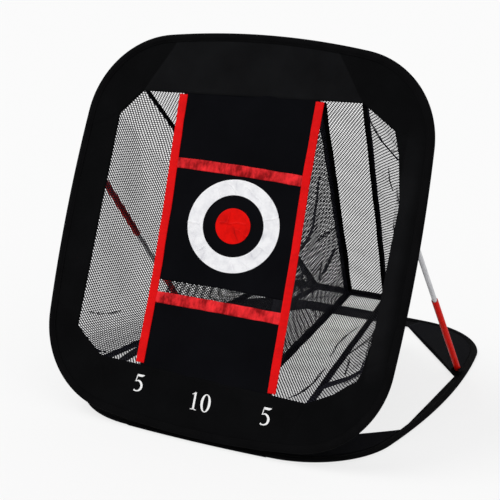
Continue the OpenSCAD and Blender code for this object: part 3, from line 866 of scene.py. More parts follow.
def gusset(name, side, end, width, length, seed):
    """Sheet from the corner's curved outline to a slack diagonal edge: points run between the
    two, and the diagonal hangs in by a few millimetres at its middle."""
    a = np.array([side * SIDE, end * (END - length)])
    b = np.array([side * (SIDE - width), end * END])
    t = np.linspace(0, 1, 40)
    edge = a + (b - a) * t[:, None]
    inward = -np.array([side, end]) / math.sqrt(2)
    edge = edge - inward * 0.004 * np.sin(np.pi * t)[:, None]
    angle = np.arctan2(edge[:, 1], edge[:, 0])
    outer = polar(outline_reach(BASE, GUSSET_INSET, angle), angle)
    s = np.linspace(0, 1, 24)[None, :, None]
    grid = edge[:, None] * (1 - s) + outer[:, None] * s
    wave = ripple(grid[..., 0], grid[..., 1], seed, 0.09) * 0.18
    middle = ground(grid[..., 0], grid[..., 1], GUSSET_LEVEL + wave * MM)
    piece = add_cloth(name, middle, UP, PANEL_THICK, panel_black, "base", grid,
                      replaces=[name.replace("cloth_", "")], slot="border_cloth")
    quads = grid_quads(*grid.shape[:2])
    p = [grid.reshape(-1, 2)[quads[:, k]] for k in range(4)]
    d1, d2 = p[2] - p[0], p[3] - p[1]
    area = abs(d1[:, 0] * d2[:, 1] - d1[:, 1] * d2[:, 0]).sum() / 2


gusset("cloth_rear_gusset_left", -1, 1, REAR_W, REAR_L, 31)
gusset("cloth_rear_gusset_right", 1, 1, REAR_W, REAR_L, 32)
gusset("cloth_front_gusset_left", -1, -1, FORE_W, FORE_L, 33)
gusset("cloth_front_gusset_right", 1, -1, FORE_W, FORE_L, 34)
print("four gussets")

# %% Hinge tape
HINGE_HALF = 0.12
t = np.linspace(-1, 1, 90)
front_half = base_line[base_line[:, 1] < 0]
front_half = front_half[np.argsort(front_half[:, 0])]
front_edge = np.interp(t * HINGE_HALF, *front_half.T)
z = np.linspace(1.4, 5.6, 7) * MM
middle = ground(t[:, None] * HINGE_HALF, front_edge[:, None] - 0.0004, z[None, :])
add_cloth("tape_hinge", middle, -BACK, BINDING_THICK, tape_black, "base",
          paired(t[:, None] * HINGE_HALF, z[None, :]), replaces=["hinge_tape"], slot="seam_tape")
print("hinge tape")

# %% [markdown]
# ## The target column
# Three pieces of black cloth hang between two upright red tapes. Two red cross tapes are
# gathered slightly, so they look ribbed, and the upper one bows up. The target's lower edge is
# free and leaves a slot above the lower cross tape. All of these are measured on the face, so
# each tape is a strip between two lines that lean a little.


# %% Column cloth
COLUMN_HALF = 0.1135


def column_left(v):
    """Centre of the left upright tape at height v: sewn a little unevenly, as by hand."""
    return np.interp(v, (0.093, 0.205, 0.250, 0.300, 0.340, 0.430, 0.522),
                     (-0.1138, -0.1136, -0.1144, -0.1166, -0.1173, -0.1222, -0.1264))


def column_right(v):
    return np.interp(v, (0.088, 0.290, 0.415, 0.532), (0.1143, 0.1108, 0.1065, 0.1060))


def opening_top(u):
    return np.interp(u, (-0.200, 0.174), (0.5195, 0.5345))


def opening_low(u):
    return np.interp(u, (-0.186, 0.171), (0.094, 0.086))


def upper_cross(u):
    """Middle of the upper cross tape: a parabola that falls towards the right."""
    return 0.4113 - 0.022 * u - 0.12 * u**2


def lower_cross(u):
    return 0.2000 + 0.0006 * np.cos(u / 0.112 * math.pi / 2)


def free_edge(u):
    return 0.2285 + 0.0008 * np.cos(u / 0.112 * math.pi)


def column_level(u, v):
    """How far the column cloth stands off its plane, in metres: broad slack and small waves."""
    slack = np.cos(np.clip(u / 0.113, -1, 1) * math.pi / 2)
    return 0.0011 * slack * ripple(u, v, 41, 0.12, count=6) * 0.5


def column_cloth(name, node, low, high, seed):
    """Cloth between the uprights, from one edge curve to another."""
    s, t = np.linspace(-1, 1, 84)[:, None], np.linspace(0, 1, 72)[None, :]
    u = s * COLUMN_HALF
    v = low(u) + (high(u) - low(u)) * t
    u = column_left(v) + (column_right(v) - column_left(v)) * (s + 1) / 2
    wave = ripple(u, v, seed, 0.05) * 0.00015 * smoothstep((1 - abs(s)) * 5)
    middle = face(u, v, MIDDLE + column_level(u, v) + wave)
    piece = add_cloth(name, middle, FACE_OUT, PANEL_THICK, panel_black, "front", paired(u, v),
                      replaces=[node], slot="panel_cloth")
    size = (float(np.ptp(u)), float(np.ptp(v)))
    return piece, size, float(np.ptp(u, axis=0).mean() * np.mean(v[:, -1] - v[:, 0]))


upper, upper_size, upper_area = column_cloth(
    "cloth_upper_panel", "upper_panel", lambda u: upper_cross(u) - 0.003,
    lambda u: opening_top(u) + 0.006, 51)
target, target_size, target_area = column_cloth(
    "cloth_target_panel", "target_panel", free_edge, lambda u: upper_cross(u) + 0.002, 52)
lower, lower_size, lower_area = column_cloth(
    "cloth_lower_panel", "lower_panel", lambda u: opening_low(u) - 0.006,
    lambda u: lower_cross(u) + 0.003, 53)
print("column panels", np.round([upper_size, target_size, lower_size], 3).tolist())


# %% Red tapes
def strip(name, node, centre, along_range, width, level, finish, crosswise, seed, crumple):
    """Tape whose middle line is a function of the run along it: t runs along, s across. Its
    edges are sewn down, and it stands a little proud between them."""
    t = np.linspace(*along_range, 150)[:, None]
    s = np.linspace(-1, 1, 11)[None, :]
    uneven = 1 + 0.03 * ripple(t, t * 0, seed, 0.05)
    offset = s * width / 2 * uneven
    u, v = np.broadcast_arrays(t, centre(t) + offset)
    if not crosswise:
        u, v = v, u
    pad = 0.00035 * (1 - s**4) + crumple * ripple(t, s * 0.004, seed, 0.006) * (1 - s**2)
    middle = face(u, v, level + column_level(u, v) + pad)
    return add_cloth(name, middle, FACE_OUT, PANEL_THICK, finish, "front", paired(t, offset),
                     replaces=[node], slot="red_tape")


UPRIGHT_LEVEL, CROSS_LEVEL = 4.75 * MM, 4.35 * MM
UPRIGHT_CRUMPLE, CROSS_CRUMPLE = 0.04 * MM, 0.12 * MM
tapes = [
    strip("tape_upright_left", "red_tape_left", column_left, (0.0955, 0.5205), 0.0144,
          UPRIGHT_LEVEL, red_upright, False, 61, UPRIGHT_CRUMPLE),
    strip("tape_upright_right", "red_tape_right", column_right, (0.0895, 0.5298), 0.0134,
          UPRIGHT_LEVEL, red_upright, False, 62, UPRIGHT_CRUMPLE),
    strip("tape_cross_upper", "cross_tape_upper", upper_cross, (-0.1180, 0.1035), 0.0166,
          CROSS_LEVEL, red_cross, True, 63, CROSS_CRUMPLE),
    strip("tape_cross_lower", "cross_tape_lower", lower_cross, (-0.1090, 0.1085), 0.0176,
          CROSS_LEVEL, red_cross, True, 64, CROSS_CRUMPLE),
]
print(len(tapes), "red tapes")

# %% [markdown]
# ## Ring, spot and numbers
# The ring and the spot are satin, sewn on, and follow the slack of the cloth behind them. They
# are discs in angle and radius, with creases that stand up as thin ridges. The numbers are
# printed: each is a flat shape whose two sides are curves, and "10" counts twice a "5".


# %% Ring and spot
def crease_lines(x, y, lines):
    """Creases: each stands up as a sharp ridge, exp(-|distance| / width), along a line."""
    level = np.zeros(np.broadcast(x, y).shape)
    for start, end in np.array(lines) * MM:
        run = math.dist(start, end)
        far = along_line(x, y, start, end)
        side = off_line(x, y, start, end) + 0.0008 * np.sin(far * 260)
        near = smoothstep((far + 0.003) / 0.005) * smoothstep((run + 0.003 - far) / 0.005)
        level = level + near * np.exp(-np.abs(side) / 0.0009)
    return level


DISC_LEVEL, DISC_THICK = 4.35 * MM, 0.3 * MM
RING_AT = (0.0008, 0.3259)
RING_TURN, RING_WIDE = math.radians(-8.8), 1.045


def target_oval(x, y):
    """The ring is a little wider than tall, along an axis that is turned by a few degrees:
    turned back, stretched by RING_WIDE, narrowed by as much, and turned again."""
    c, s = math.cos(RING_TURN), math.sin(RING_TURN)
    a, b = (c * x + s * y) * RING_WIDE, (c * y - s * x) / RING_WIDE
    return c * a - s * b, s * a + c * b


def target_disc(name, node, inner, outer, finish, slot, seed, creases):
    """Annulus in angle and radius over the target cloth; a radius of zero is kept tiny."""
    angle = np.linspace(0, 2 * math.pi, 560, endpoint=False)[:, None]
    radius = np.linspace(inner, outer, 36)[None, :]
    x, y = target_oval(radius * np.cos(angle), radius * np.sin(angle))
    u, v = x + RING_AT[0], y + RING_AT[1]
    level = crease_lines(x, y, creases) * 0.0013 + ripple(x, y, seed, 0.035) * 0.00012
    middle = face(u, v, DISC_LEVEL + column_level(u, v) + level)
    return add_cloth(name, middle, FACE_OUT, DISC_THICK, finish, "front", paired(x, y), wrap=True,
                     replaces=[node], slot=slot)


# Ends of each crease, in millimetres from the target's middle
RING_CREASES = [
    ((-41, 57), (-27, 42)), ((47, 14), (76, 24)), ((-81, -4), (-58, -3)), ((10, 62), (41, 41)),
    ((8, -54), (16, -65)), ((28, -53), (40, -62)), ((48, -25), (66, -32)),
    ((-20, 63), (-5, 53)), ((-42, -37), (-54, -46)),
]
SPOT_CREASES = [
    ((-9, 21), (-9, -12)), ((-23, 2), (21, 6)), ((6, -5), (29, -14)),
]
ring = target_disc("satin_ring", "target_ring", 0.0495, 0.0747, ring_white, "white_print",
                   71, RING_CREASES)
spot = target_disc("satin_spot", "target_spot", 0.0002, 0.0285, spot_red, "red_print",
                   72, SPOT_CREASES)
print("ring and spot")


# %% Numbers
def stroke(points, widths, count=40):
    """A pen stroke: a smooth line through the points, as wide as given at each of them."""
    points, widths = np.array(points, float), np.array(widths, float)
    at = np.linspace(0, len(points) - 1, count)
    k = np.clip(at.astype(int), 0, len(points) - 2)
    f = (at - k)[:, None]
    before, after = points[np.maximum(k - 1, 0)], points[np.minimum(k + 2, len(points) - 1)]
    a, b = points[k], points[k + 1]
    line = 0.5 * (2 * a + (b - before) * f + (2 * before - 5 * a + 4 * b - after) * f**2
                  + (3 * a - before - 3 * b + after) * f**3)
    side = left_of(unit(np.gradient(line, axis=0)))
    half = np.interp(at, np.arange(len(widths)), widths)[:, None] / 2
    s = np.linspace(-1, 1, 4)[None, :, None]
    return line[:, None] + side[:, None] * half[:, None] * s


NOUGHT_STEPS = 64


def ring_stroke(width, height, thick, thin):
    """The figure 0: between two ellipses that are closer at the top and bottom."""
    angle = np.linspace(0, 2 * math.pi, NOUGHT_STEPS, endpoint=False)[:, None]
    s = np.linspace(0, 1, 5)[None, :]
    x = np.cos(angle) * (width / 2 - thick * s)
    y = np.sin(angle) * (height / 2 - thin * s)
    return np.stack([x, y + height / 2], -1)


# Shapes in units of the figure's height, on a baseline at zero
FIVE = [
    stroke([(-0.16, 0.92), (0.0, 0.92), (0.15, 0.925), (0.29, 0.975)], [0.12, 0.13, 0.12, 0.02]),
    stroke([(-0.15, 0.96), (-0.18, 0.75), (-0.22, 0.55)], [0.05, 0.05, 0.04], 14),
    stroke([(-0.22, 0.555), (-0.07, 0.62), (0.10, 0.55), (0.20, 0.37), (0.16, 0.17), (0.02, 0.05),
            (-0.15, 0.03), (-0.25, 0.08)],
           [0.03, 0.07, 0.12, 0.14, 0.12, 0.07, 0.06, 0.10]),
]
ONE = [
    stroke([(0.0, 0.98), (0.0, 0.5), (0.0, 0.03)], [0.12, 0.12, 0.12], 14),
    stroke([(-0.20, 0.86), (-0.10, 0.885), (0.0, 0.98)], [0.02, 0.05, 0.06], 14),
    stroke([(-0.19, 0.02), (0.0, 0.04), (0.19, 0.02)], [0.03, 0.06, 0.03], 14),
]
NOUGHT = [ring_stroke(0.62, 1.0, 0.15, 0.045)]
PRINT_LEVEL, PRINT_THICK = 4.62 * MM, 0.2 * MM


def printed_number(name, figures, at, height):
    """Figures set side by side on the border, each part a thin raised print."""
    parts = []
    for shapes, shift in figures:
        for shape in shapes:
            flat = (shape + [shift, 0]) * height + at
            level = border_level(flat[..., 0], flat[..., 1] - FACE_CENTRE) * MM
            middle = face(flat[..., 0], flat[..., 1], PRINT_LEVEL + level)
            parts.append(cloth_arrays(middle, FACE_OUT, PRINT_THICK, flat,
                                      wrap=len(shape) == NOUGHT_STEPS, edge=1.0))
    sided = [(p, q if enclosed(p, q) > 0 else q[:, ::-1], uv) for p, q, uv in parts]
    points, quads, uv = merge_parts(sided)
    make_piece(name, points, quads, ink, "front", uv=uv, slot="white_print", smooth=False)


NUMBER_HIGH = 0.0272
printed_number("number_left", [(FIVE, 0)], (-0.1086, 0.0504), NUMBER_HIGH)
printed_number("number_middle", [(ONE, -0.37), (NOUGHT, 0.34)], (0.0015, 0.0415), NUMBER_HIGH)
printed_number("number_right", [(FIVE, 0)], (0.1115, 0.0417), NUMBER_HIGH)
print("numbers printed")

# %% [markdown]
# ## Netting
# The bag is machine-knitted netting: strands 4 mm apart in two slanting directions, the wales
# wide and flat and the courses that tie them thin, so that from a distance it reads as slanting
# stripes. A picture of a net on a plane would vanish in the mesh file and look flat from the
# side, so each strand is really there, a thin four-sided strip. A panel is cut flat, ruled with
# parallel lines, each line is clipped to the cut, and the whole is laid in place and let sag.
# Where slack net is pinched its strands lie side by side, so a pleat is a bundle of strands
# along a bent line.

# %% Netting tools
PITCH = 4.0 * MM
# Width and thickness of the strands: wales and courses, the same flattened, and pleated ones
WALE, COURSE = (1.45 * MM, 0.5 * MM), (0.6 * MM, 0.45 * MM)
FLAT_WALE, FLAT_COURSE = (1.8 * MM, 0.15 * MM), (0.9 * MM, 0.15 * MM)
PLEATED = (0.95 * MM, 0.5 * MM)
PLEAT_SAMPLES = 40


def clip_lines(corners, direction, pitch):
    """Start and end of every parallel line inside a convex cut, by clipping to each edge."""
    d = unit(np.array(direction))
    n = left_of(d)
    reach = corners @ n
    at = np.arange(math.floor(reach.min() / pitch), math.ceil(reach.max() / pitch) + 1) * pitch
    low, high = np.full(len(at), -10.0), np.full(len(at), 10.0)
    if polygon_turn(corners) < 0:
        corners = corners[::-1]
    for a, b in edges_of(corners):
        inward = left_of(b - a)
        slope, room = inward @ d, inward @ a - at * (inward @ n)
        if abs(slope) > 1e-12:
            cut = room / slope
            low = np.maximum(low, cut) if slope > 0 else low
            high = np.minimum(high, cut) if slope < 0 else high
        else:
            high = np.where(room > 0, low, high)
    keep = high - low > pitch * 0.4
    start = at[keep, None] * n + low[keep, None] * d
    return start, at[keep, None] * n + high[keep, None] * d


def edge_depth(points, edges):
    """Distance from each point to the nearest of the given edges."""
    best = np.full(points.shape[:-1], np.inf)
    for a, b in edges:
        run = b - a
        t = np.clip(((points - a) @ run) / (run @ run), 0, 1)
        best = np.minimum(best, np.linalg.norm(points - a - t[..., None] * run, axis=-1))
    return best


def strands(flat, lay, section):
    """Four-sided strips along lines of flat points: the line is laid in space, and its side is
    the cross product of the surface's normal and its own direction."""
    width, thick = section
    line, normal = lay(flat)
    side = np.cross(normal, unit(np.gradient(line, axis=1))) * width / 2
    up = normal * thick / 2
    corners = np.stack([line - side - up, line + side - up, line + side + up, line - side + up], 2)
    n, k = flat.shape[:2]
    number = np.arange(n * k * 4).reshape(n, k, 4)
    quads = [np.stack([number[:, :-1, c], number[:, :-1, (c + 1) % 4],
                       number[:, 1:, (c + 1) % 4], number[:, 1:, c]], -1).reshape(-1, 4)
             for c in range(4)]
    caps = [number[:, 0, ::-1], number[:, -1]]
    run = np.cumsum(np.linalg.norm(np.diff(line, axis=1, prepend=line[:, :1]), axis=-1), axis=1)
    return corners, np.concatenate(quads + caps), paired(run[..., None], np.arange(4) * width)


def pleat_lines(path, count, spread, seed):
    """Lines that run side by side along a smooth curve through the path and close up at its
    ends: across = spread sin(pi t) (j/(n-1) - 1/2), with a small wander."""
    path = np.array(path, float)
    reach = run_along(path)
    reach /= reach[-1]
    degree = min(4, len(path) - 1)
    t = np.linspace(0, 1, PLEAT_SAMPLES)
    middle = np.stack([np.polyval(np.polyfit(reach, path[:, k], degree), t) for k in (0, 1)], -1)
    side = left_of(unit(np.gradient(middle, axis=0)))
    lane = np.linspace(-0.5, 0.5, count)[:, None]
    across = spread * np.sin(math.pi * t) ** 0.6 * lane
    across = across + 0.0006 * ripple(t + lane * 3, lane, seed, 0.3)
    return middle[None] + across[..., None] * side[None]


class NetCut:
    """A net cut from facets that share one flat pattern. A facet holds its corners in space;
    the first facet sets the pattern's axes and each next one is unfolded about a shared edge."""

    def __init__(self, facets):
        self.space = [np.array(f, float) for f in facets]
        self.flat, self.normals = [], []
        for k, corners in enumerate(self.space):
            x, normal = unit(corners[1] - corners[0]), facing(*corners)
            y = np.cross(normal, x)
            local = np.stack([(corners - corners[0]) @ x, (corners - corners[0]) @ y], -1)
            self.flat.append(self.unfold(local, corners, k) if k else local)
            self.normals.append(normal)

    def unfold(self, local, corners, k):
        """Turns and moves a facet's flat corners so that its shared edge meets the last one's."""
        last = self.space[k - 1]
        pairs = [(i, j) for i, p in enumerate(corners) for j, q in enumerate(last)
                 if np.linalg.norm(p - q) < 1e-7]
        (i1, j1), (i2, j2) = pairs
        a, b = local[i1], local[i2]
        c, d = self.flat[k - 1][j1], self.flat[k - 1][j2]
        turn = math.atan2(*(d - c)[::-1]) - math.atan2(*(b - a)[::-1])
        m = np.array([[math.cos(turn), -math.sin(turn)], [math.sin(turn), math.cos(turn)]])
        return (local - a) @ m.T + c

    def area(self):
        return sum(polygon_area(f) for f in self.flat)

    def spread(self):
        every = np.concatenate(self.flat)
        return tuple(float(v) for v in np.ptp(every, axis=0))

    def weights(self, k, points):
        """How far points lie along the two edges of facet k that leave its first corner."""
        flat = self.flat[k]
        base = np.stack([flat[1] - flat[0], flat[2] - flat[0]], -1)
        return (points - flat[0]) @ np.linalg.inv(base).T

    def layer(self, k, shape, edges):
        """A function that lays flat points of facet k in space, pushed by shape along the mean
        of all facets' normals, so that the facets stay joined."""
        corners, normal = self.space[k], self.normals[k]
        spans = np.stack([corners[1] - corners[0], corners[2] - corners[0]])
        middle = np.mean([f.mean(0) for f in self.flat], axis=0)
        mean = unit(np.mean(self.normals, axis=0))

        def lay(points):
            spot = corners[0] + self.weights(k, points) @ spans
            push = shape(points - middle, edge_depth(points, edges))
            return spot + push[..., None] * mean, np.broadcast_to(normal, spot.shape)

        return lay

    def everywhere(self, shape, edges):
        """The same for points all over the cut: each is laid by the facet it lies in."""

        def lay(points):
            shares = [self.weights(k, points) for k in range(len(self.flat))]
            inside = np.stack([np.minimum(w.min(-1), 1 - w.sum(-1)) for w in shares])
            chosen = inside.argmax(0)[None, ..., None]
            laid = [self.layer(k, shape, edges)(points) for k in range(len(self.flat))]
            spots, normals = (np.stack(part) for part in zip(*laid))
            return tuple(np.take_along_axis(part, chosen, 0)[0] for part in (spots, normals))

        return lay


def slant(degrees):
    return math.cos(math.radians(degrees)), math.sin(math.radians(degrees))


def net_piece(name, cut, outer_edges, shape, replaces, weave, samples, pleats=()):
    """All strands of a net as one piece. The weave holds each family's slant and section; a
    pleat holds its path on the flat cut, its number of strands and its width."""
    parts = []
    t = np.linspace(0, 1, samples)[None, :, None]
    for k, corners in enumerate(cut.flat):
        lay = cut.layer(k, shape, outer_edges)
        for degrees, section in weave:
            start, end = clip_lines(corners, slant(degrees), PITCH)
            if len(start):
                parts.append(strands(start[:, None] + (end - start)[:, None] * t, lay, section))
    for number, (path, count, spread) in enumerate(pleats):
        lines = pleat_lines(path, count, spread, 300 + number)
        parts.append(strands(lines, cut.everywhere(shape, outer_edges), PLEATED))
    points, quads, uv = merge_parts(parts)
    return make_piece(name, points, quads, net_black, "front", uv=uv, replaces=replaces,
                      slot="netting", smooth=False)


print("netting tools ready")

# %% [markdown]
# ## The bag
# The nets run from behind the border back to a short rear edge. Top and floor are trapezoids,
# each side is a fan of facets that fold round the opening's corners, and two triangular dividers
# make the three pockets. When the target folds down the nets gather against its back, so every
# bag piece rides with the target.

# %% Bag corners
REAR_HALF, DIVIDER_REAR = 0.104, 0.032
REAR_BACK, REAR_Z = 0.520, 0.096
MOUTH_N = 1.9 * MM
UNDER = 0.006


def rear(u):
    return np.array([u, HINGE[1] + REAR_BACK, REAR_Z])


def mouth(u, v):
    return face(np.array(u), np.array(v), np.array(MOUTH_N))


TOP_L, TOP_R = mouth(-0.199, 0.5195 + UNDER), mouth(0.176, 0.5345 + UNDER)
LOW_L, LOW_R = mouth(-0.186, 0.094 - UNDER), mouth(0.171, 0.086 - UNDER)
RIGHT = [mouth(0.236, 0.502), mouth(0.249, 0.465), mouth(0.263, 0.395),
         mouth(0.260, 0.196), mouth(0.254, 0.146), mouth(0.2475, 0.126), mouth(0.2115, 0.0985)]
LEFT = [mouth(-0.242, 0.482), mouth(-0.2435, 0.19), mouth(-0.2435, 0.15), mouth(-0.241, 0.13),
        mouth(-0.231, 0.114), mouth(-0.212, 0.1)]
REAR_L, REAR_R = rear(-REAR_HALF), rear(REAR_HALF)
print("bag is", round(REAR_BACK, 3), "m deep")


# %% Top and floor nets
def sag(depth_of_sag, seed, wrinkle, wave=0.07, reach=0.12):
    """Shape of a slack net: a smooth hollow that starts at its seams, with waves on top."""

    def shape(points, depth):
        waves = ripple(points[..., 0], points[..., 1], seed, wave) * smoothstep(depth / 0.03)
        return depth_of_sag * smoothstep(depth / reach) + wrinkle * waves

    return shape


def declare_net(piece, cut, rests_on):
    cut.spread()
    float(cut.area())
    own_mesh(piece)


TOP_WEAVE = [(54, WALE), (126, COURSE)]
FLOOR_WEAVE = [(127, FLAT_WALE), (53, FLAT_COURSE)]
FLOOR_PLEATS = [
    ([(-0.012, 0.156), (-0.009, 0.189), (-0.012, 0.238), (-0.017, 0.270), (-0.022, 0.301)],
     3, 1.6 * MM),
    ([(-0.034, 0.349), (-0.037, 0.382), (-0.040, 0.419), (-0.038, 0.450), (-0.030, 0.475)],
     4, 2.6 * MM),
]
top_cut = NetCut([[REAR_L, REAR_R, TOP_R], [REAR_L, TOP_R, TOP_L]])
floor_cut = NetCut([[REAR_R, REAR_L, LOW_L], [REAR_R, LOW_L, LOW_R]])


def rim_of(cut):
    """The four outer edges of a net cut from two triangles that share a diagonal."""
    (a, b, c), (_, _, d) = cut.flat
    return [(a, b), (b, c), (c, d), (d, a)]


top_net = net_piece("net_top", top_cut, rim_of(top_cut), sag(-0.006, 81, 0.0012),
                    ["top_net"], TOP_WEAVE, 24)
floor_net = net_piece("net_floor", floor_cut, rim_of(floor_cut), sag(0.010, 82, 0.0016),
                      ["floor_net"], FLOOR_WEAVE, 24, FLOOR_PLEATS)
print("top", round(top_cut.area(), 3), "m2, floor", round(floor_cut.area(), 3), "m2")


# %% Side nets
def side_cut(chain, corner):
    """Facets from each stretch of the mouth to the rear corner."""
    return NetCut([[chain[k], chain[k + 1], corner] for k in range(len(chain) - 1)])


def outer_edges(cut):
    """The mouth's edges and the two seams, but not the folds between facets."""
    mouth_edges = [(f[0], f[1]) for f in cut.flat]
    return mouth_edges + [(cut.flat[0][0], cut.flat[0][2]), (cut.flat[-1][1], cut.flat[-1][2])]


right_cut = side_cut([TOP_R, *RIGHT, LOW_R], REAR_R)
left_cut = side_cut([TOP_L, *LEFT, LOW_L], REAR_L)
RIGHT_PLEATS = [
    ([(0.006, 0.017), (0.012, 0.039), (0.024, 0.056), (0.042, 0.068), (0.054, 0.079),
      (0.067, 0.081), (0.088, 0.067)], 6, 3.6 * MM),
    ([(0.053, 0.077), (0.065, 0.061), (0.082, 0.046)], 2, 1.0 * MM),
    ([(0.055, 0.122), (0.061, 0.149), (0.068, 0.171)], 3, 1.6 * MM),
    ([(0.432, 0.264), (0.411, 0.262), (0.395, 0.255), (0.380, 0.248), (0.365, 0.242),
      (0.350, 0.246)], 24, 23 * MM),
    ([(0.374, 0.240), (0.336, 0.262), (0.295, 0.303), (0.250, 0.350), (0.199, 0.406)],
     9, 9 * MM),
    ([(0.312, 0.342), (0.283, 0.350), (0.254, 0.361), (0.218, 0.387)], 4, 3.5 * MM),
    ([(0.374, 0.267), (0.345, 0.295), (0.318, 0.325)], 3, 2.4 * MM),
]
LEFT_PLEATS = [([(0.364, 0.120), (0.358, 0.138), (0.346, 0.163), (0.330, 0.186)], 2, 1.0 * MM),
               ([(0.424, 0.136), (0.430, 0.149), (0.433, 0.162)], 3, 2.4 * MM)]
RIGHT_WEAVE = [(116, WALE), (28, COURSE)]
LEFT_WEAVE = [(64, (1.7 * MM, 0.65 * MM)), (125, (1.05 * MM, 0.5 * MM))]
side_right = net_piece("net_side_right", right_cut, outer_edges(right_cut),
                       sag(0.012, 83, 0.0012, 0.06), ["side_net_right"], RIGHT_WEAVE, 22,
                       RIGHT_PLEATS)
side_left = net_piece("net_side_left", left_cut, outer_edges(left_cut),
                      sag(-0.010, 84, 0.0010, 0.08), ["side_net_left"], LEFT_WEAVE, 24,
                      LEFT_PLEATS)
print("sides", round(right_cut.area(), 3), "and", round(left_cut.area(), 3), "m2")

# %% Divider nets
COLUMN = {-1: (mouth(-0.081, 0.0925), mouth(-0.1245, 0.524)),
          1: (mouth(0.081, 0.0885), mouth(0.1065, 0.533))}
DIVIDER_PLEATS = [
    ([(0.345, 0.105), (0.324, 0.112), (0.293, 0.128), (0.271, 0.143), (0.245, 0.129),
      (0.222, 0.100), (0.204, 0.080)], 9, 12 * MM),
    ([(0.276, 0.240), (0.262, 0.219), (0.248, 0.191)], 5, 8 * MM),
    ([(0.251, 0.294), (0.234, 0.289), (0.217, 0.285), (0.198, 0.268)], 9, 16 * MM),
    ([(0.220, 0.252), (0.203, 0.255), (0.186, 0.272)], 6, 9 * MM),
    ([(0.207, 0.151), (0.181, 0.150), (0.157, 0.179)], 6, 9 * MM),
]
DIVIDER_WEAVE = [(64, (1.12 * MM, 0.48 * MM)), (116, (1.12 * MM, 0.48 * MM))]
dividers = {}
for side, word in ((-1, "left"), (1, "right")):
    low, high = COLUMN[side]
    cut = NetCut([[low, high, rear(side * DIVIDER_REAR)]])
    piece = net_piece("net_divider_" + word, cut, edges_of(cut.flat[0]),
                      sag(side * 0.008, 85 + side, 0.0012, 0.07, 0.08),
                      ["divider_net_" + word], DIVIDER_WEAVE, 30,
                      DIVIDER_PLEATS if side > 0 else DIVIDER_PLEATS[1:3])
    dividers[word] = (piece, cut)
print("dividers", [round(cut.area(), 3) for _, cut in dividers.values()], "m2")


# %% [markdown]
# ## Seam tapes
# Black binding covers each seam of the bag. It is a flat strip laid along the seam, 10 to 17 mm
# wide on the outside and about 15 mm on the dividers, with a slight wander.


# %% Bag tapes
def seam(name, start, end, normal, width, level, replaces, seed, trim=(0.002, 0.008)):
    """Strip along a straight seam: t runs along, s across; it wanders by half a millimetre."""
    start, end, normal = (np.array(v, float) for v in (start, end, normal))
    run = np.linalg.norm(end - start)
    along = (end - start) / run
    side = unit(np.cross(normal, along))
    up = np.cross(along, side)
    t = np.linspace(trim[0], run - trim[1], 90)[:, None]
    s = np.linspace(-1, 1, 7)[None, :]
    wander = ripple(t, t * 0, seed, 0.09) * 0.0005
    offset = s * width / 2 + wander
    lift = level + 0.0003 * (1 - s**2) + 0.0002 * ripple(t, s * 0.01, seed + 1, 0.05)
    middle = start + t[..., None] * along + offset[..., None] * side + lift[..., None] * up
    piece = add_cloth(name, middle, up, BINDING_THICK, tape_black, "front", paired(t, offset),
                      replaces=replaces, slot="seam_tape")
    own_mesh(piece)
    return piece


top_up = facing(REAR_L, REAR_R, TOP_R)
floor_up = facing(REAR_L, REAR_R, LOW_R)
SEAM_W, DIVIDER_W, FLOOR_SEAM_W, REAR_TAPE_W = 0.010, 0.0155, {-1: 0.017, 1: 0.011}, 0.0125
SEAM_LEVEL, DIVIDER_LEVEL = 0.8 * MM, 1.6 * MM
bag_tapes = {"top": [], "floor": []}
for side, word, top, low in ((-1, "left", TOP_L, LOW_L), (1, "right", TOP_R, LOW_R)):
    corner, pocket = rear(side * REAR_HALF), rear(side * DIVIDER_REAR)
    low_d, high_d = COLUMN[side]
    seed = 90 + side
    bag_tapes["top"] += [
        seam("tape_top_seam_" + word, top, corner, top_up, SEAM_W, SEAM_LEVEL,
             ["top_seam_" + word], seed),
        seam("tape_divider_top_" + word, high_d, pocket, top_up, DIVIDER_W, DIVIDER_LEVEL,
             ["divider_top_seam_" + word], seed + 10),
    ]
    bag_tapes["floor"] += [
        seam("tape_floor_seam_" + word, low, corner, floor_up, FLOOR_SEAM_W[side], SEAM_LEVEL,
             ["floor_seam_" + word], seed + 20),
        seam("tape_divider_floor_" + word, low_d, pocket, floor_up, DIVIDER_W, DIVIDER_LEVEL,
             ["divider_floor_seam_" + word], seed + 30),
    ]
rear_tape = seam("tape_rear_edge", REAR_L, REAR_R, -BACK, REAR_TAPE_W, 0.0, ["rear_edge_tape"],
                 99, (0, 0))
declare_net(top_net, top_cut, ["tape_top_seam_left", "border_front"])
declare_net(floor_net, floor_cut, ["tape_floor_seam_left", "border_front"])
declare_net(side_right, right_cut, ["tape_top_seam_right", "border_front"])
declare_net(side_left, left_cut, ["tape_top_seam_left", "border_front"])
for word, (piece, cut) in dividers.items():
    declare_net(piece, cut, ["tape_divider_top_" + word, "tape_upright_" + word])
print("bag tapes", sum(len(v) for v in bag_tapes.values()) + 1)

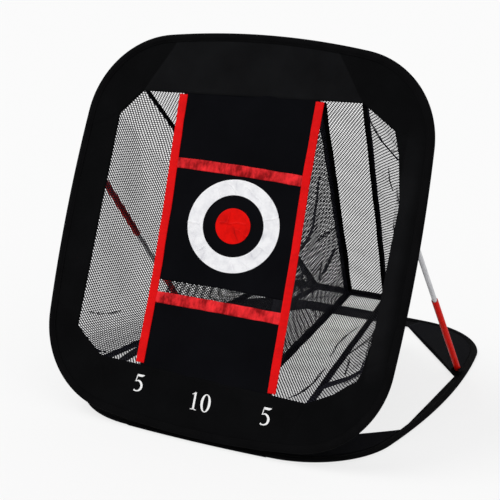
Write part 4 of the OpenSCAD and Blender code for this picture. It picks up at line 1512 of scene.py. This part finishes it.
# %% [markdown]
# ## Rod pockets
# Each rod end sits in a short pocket of webbing: a strip bent into a U, with its open side away
# from the cloth. It is a U-shaped line with thickness, carried along the rod's end.


# %% Pockets
def pocket_arrays(inner, wall, high, length):
    """Closed outline of a rounded U (outside down and round, inside back), and its run."""
    bend = np.linspace(math.pi, 2 * math.pi, 22)
    out = polar(1, bend)
    outer = np.concatenate([[(-1, high / (inner + wall))], out, [(1, high / (inner + wall))]])
    outside = outer * (inner + wall)
    inside = np.concatenate([[(-inner, high)], out * inner, [(inner, high)]])[::-1]
    outline = np.concatenate([outside, inside])
    run = np.linspace(-length / 2, length / 2, 12)
    around = np.arange(len(outline)) * 0.0011
    return outline, run, paired(run[:, None], around)


# Half width inside a pocket, its cloth's thickness, its height and its length
POCKET = (5.6 * MM, 1.6 * MM, 3.0 * MM, 25 * MM)


def rod_pocket(name, node, body, origin, up_axis, along_axis):
    """The U carried along the rod's end, a little wider in its middle, with both ends closed."""
    outline, run, uv = pocket_arrays(*POCKET)
    flare = 1 + 0.03 * np.cos(run / run.max() * math.pi)[:, None]
    points = (origin + outline[None, :, :1] * flare[..., None] * ACROSS
              + outline[None, :, 1:] * up_axis + run[:, None, None] * along_axis)
    quads = grid_quads(len(run), len(outline), wrap_columns=True)
    n, half = len(outline), len(outline) // 2
    i = np.arange(half - 1)
    cap = np.stack([i, i + 1, n - 2 - i, n - 1 - i], -1)
    quads = np.concatenate([quads, cap[:, ::-1], cap + (len(run) - 1) * n])
    return make_piece(name, points, quads, webbing_black, body, uv=uv, replaces=[node],
                      slot="webbing")


ROD_X, HEAD_V, HEAD_N = 0.264, 0.386, -4.1 * MM
foot_y, foot_z = joints["right_rod_swing"]["pos_m"][1:]
for side, word in ((-1, "left"), (1, "right")):
    rod_pocket("pocket_foot_" + word, "rod_foot_pocket_" + word, "base",
               np.array([side * ROD_X, foot_y, foot_z]), UP, BACK)
    head = face(np.array(side * ROD_X), np.array(HEAD_V), np.array(HEAD_N))
    rod_pocket("pocket_head_" + word, "rod_head_pocket_" + word, "front",
               head, -FACE_OUT, FACE_UP)
print("four rod pockets")
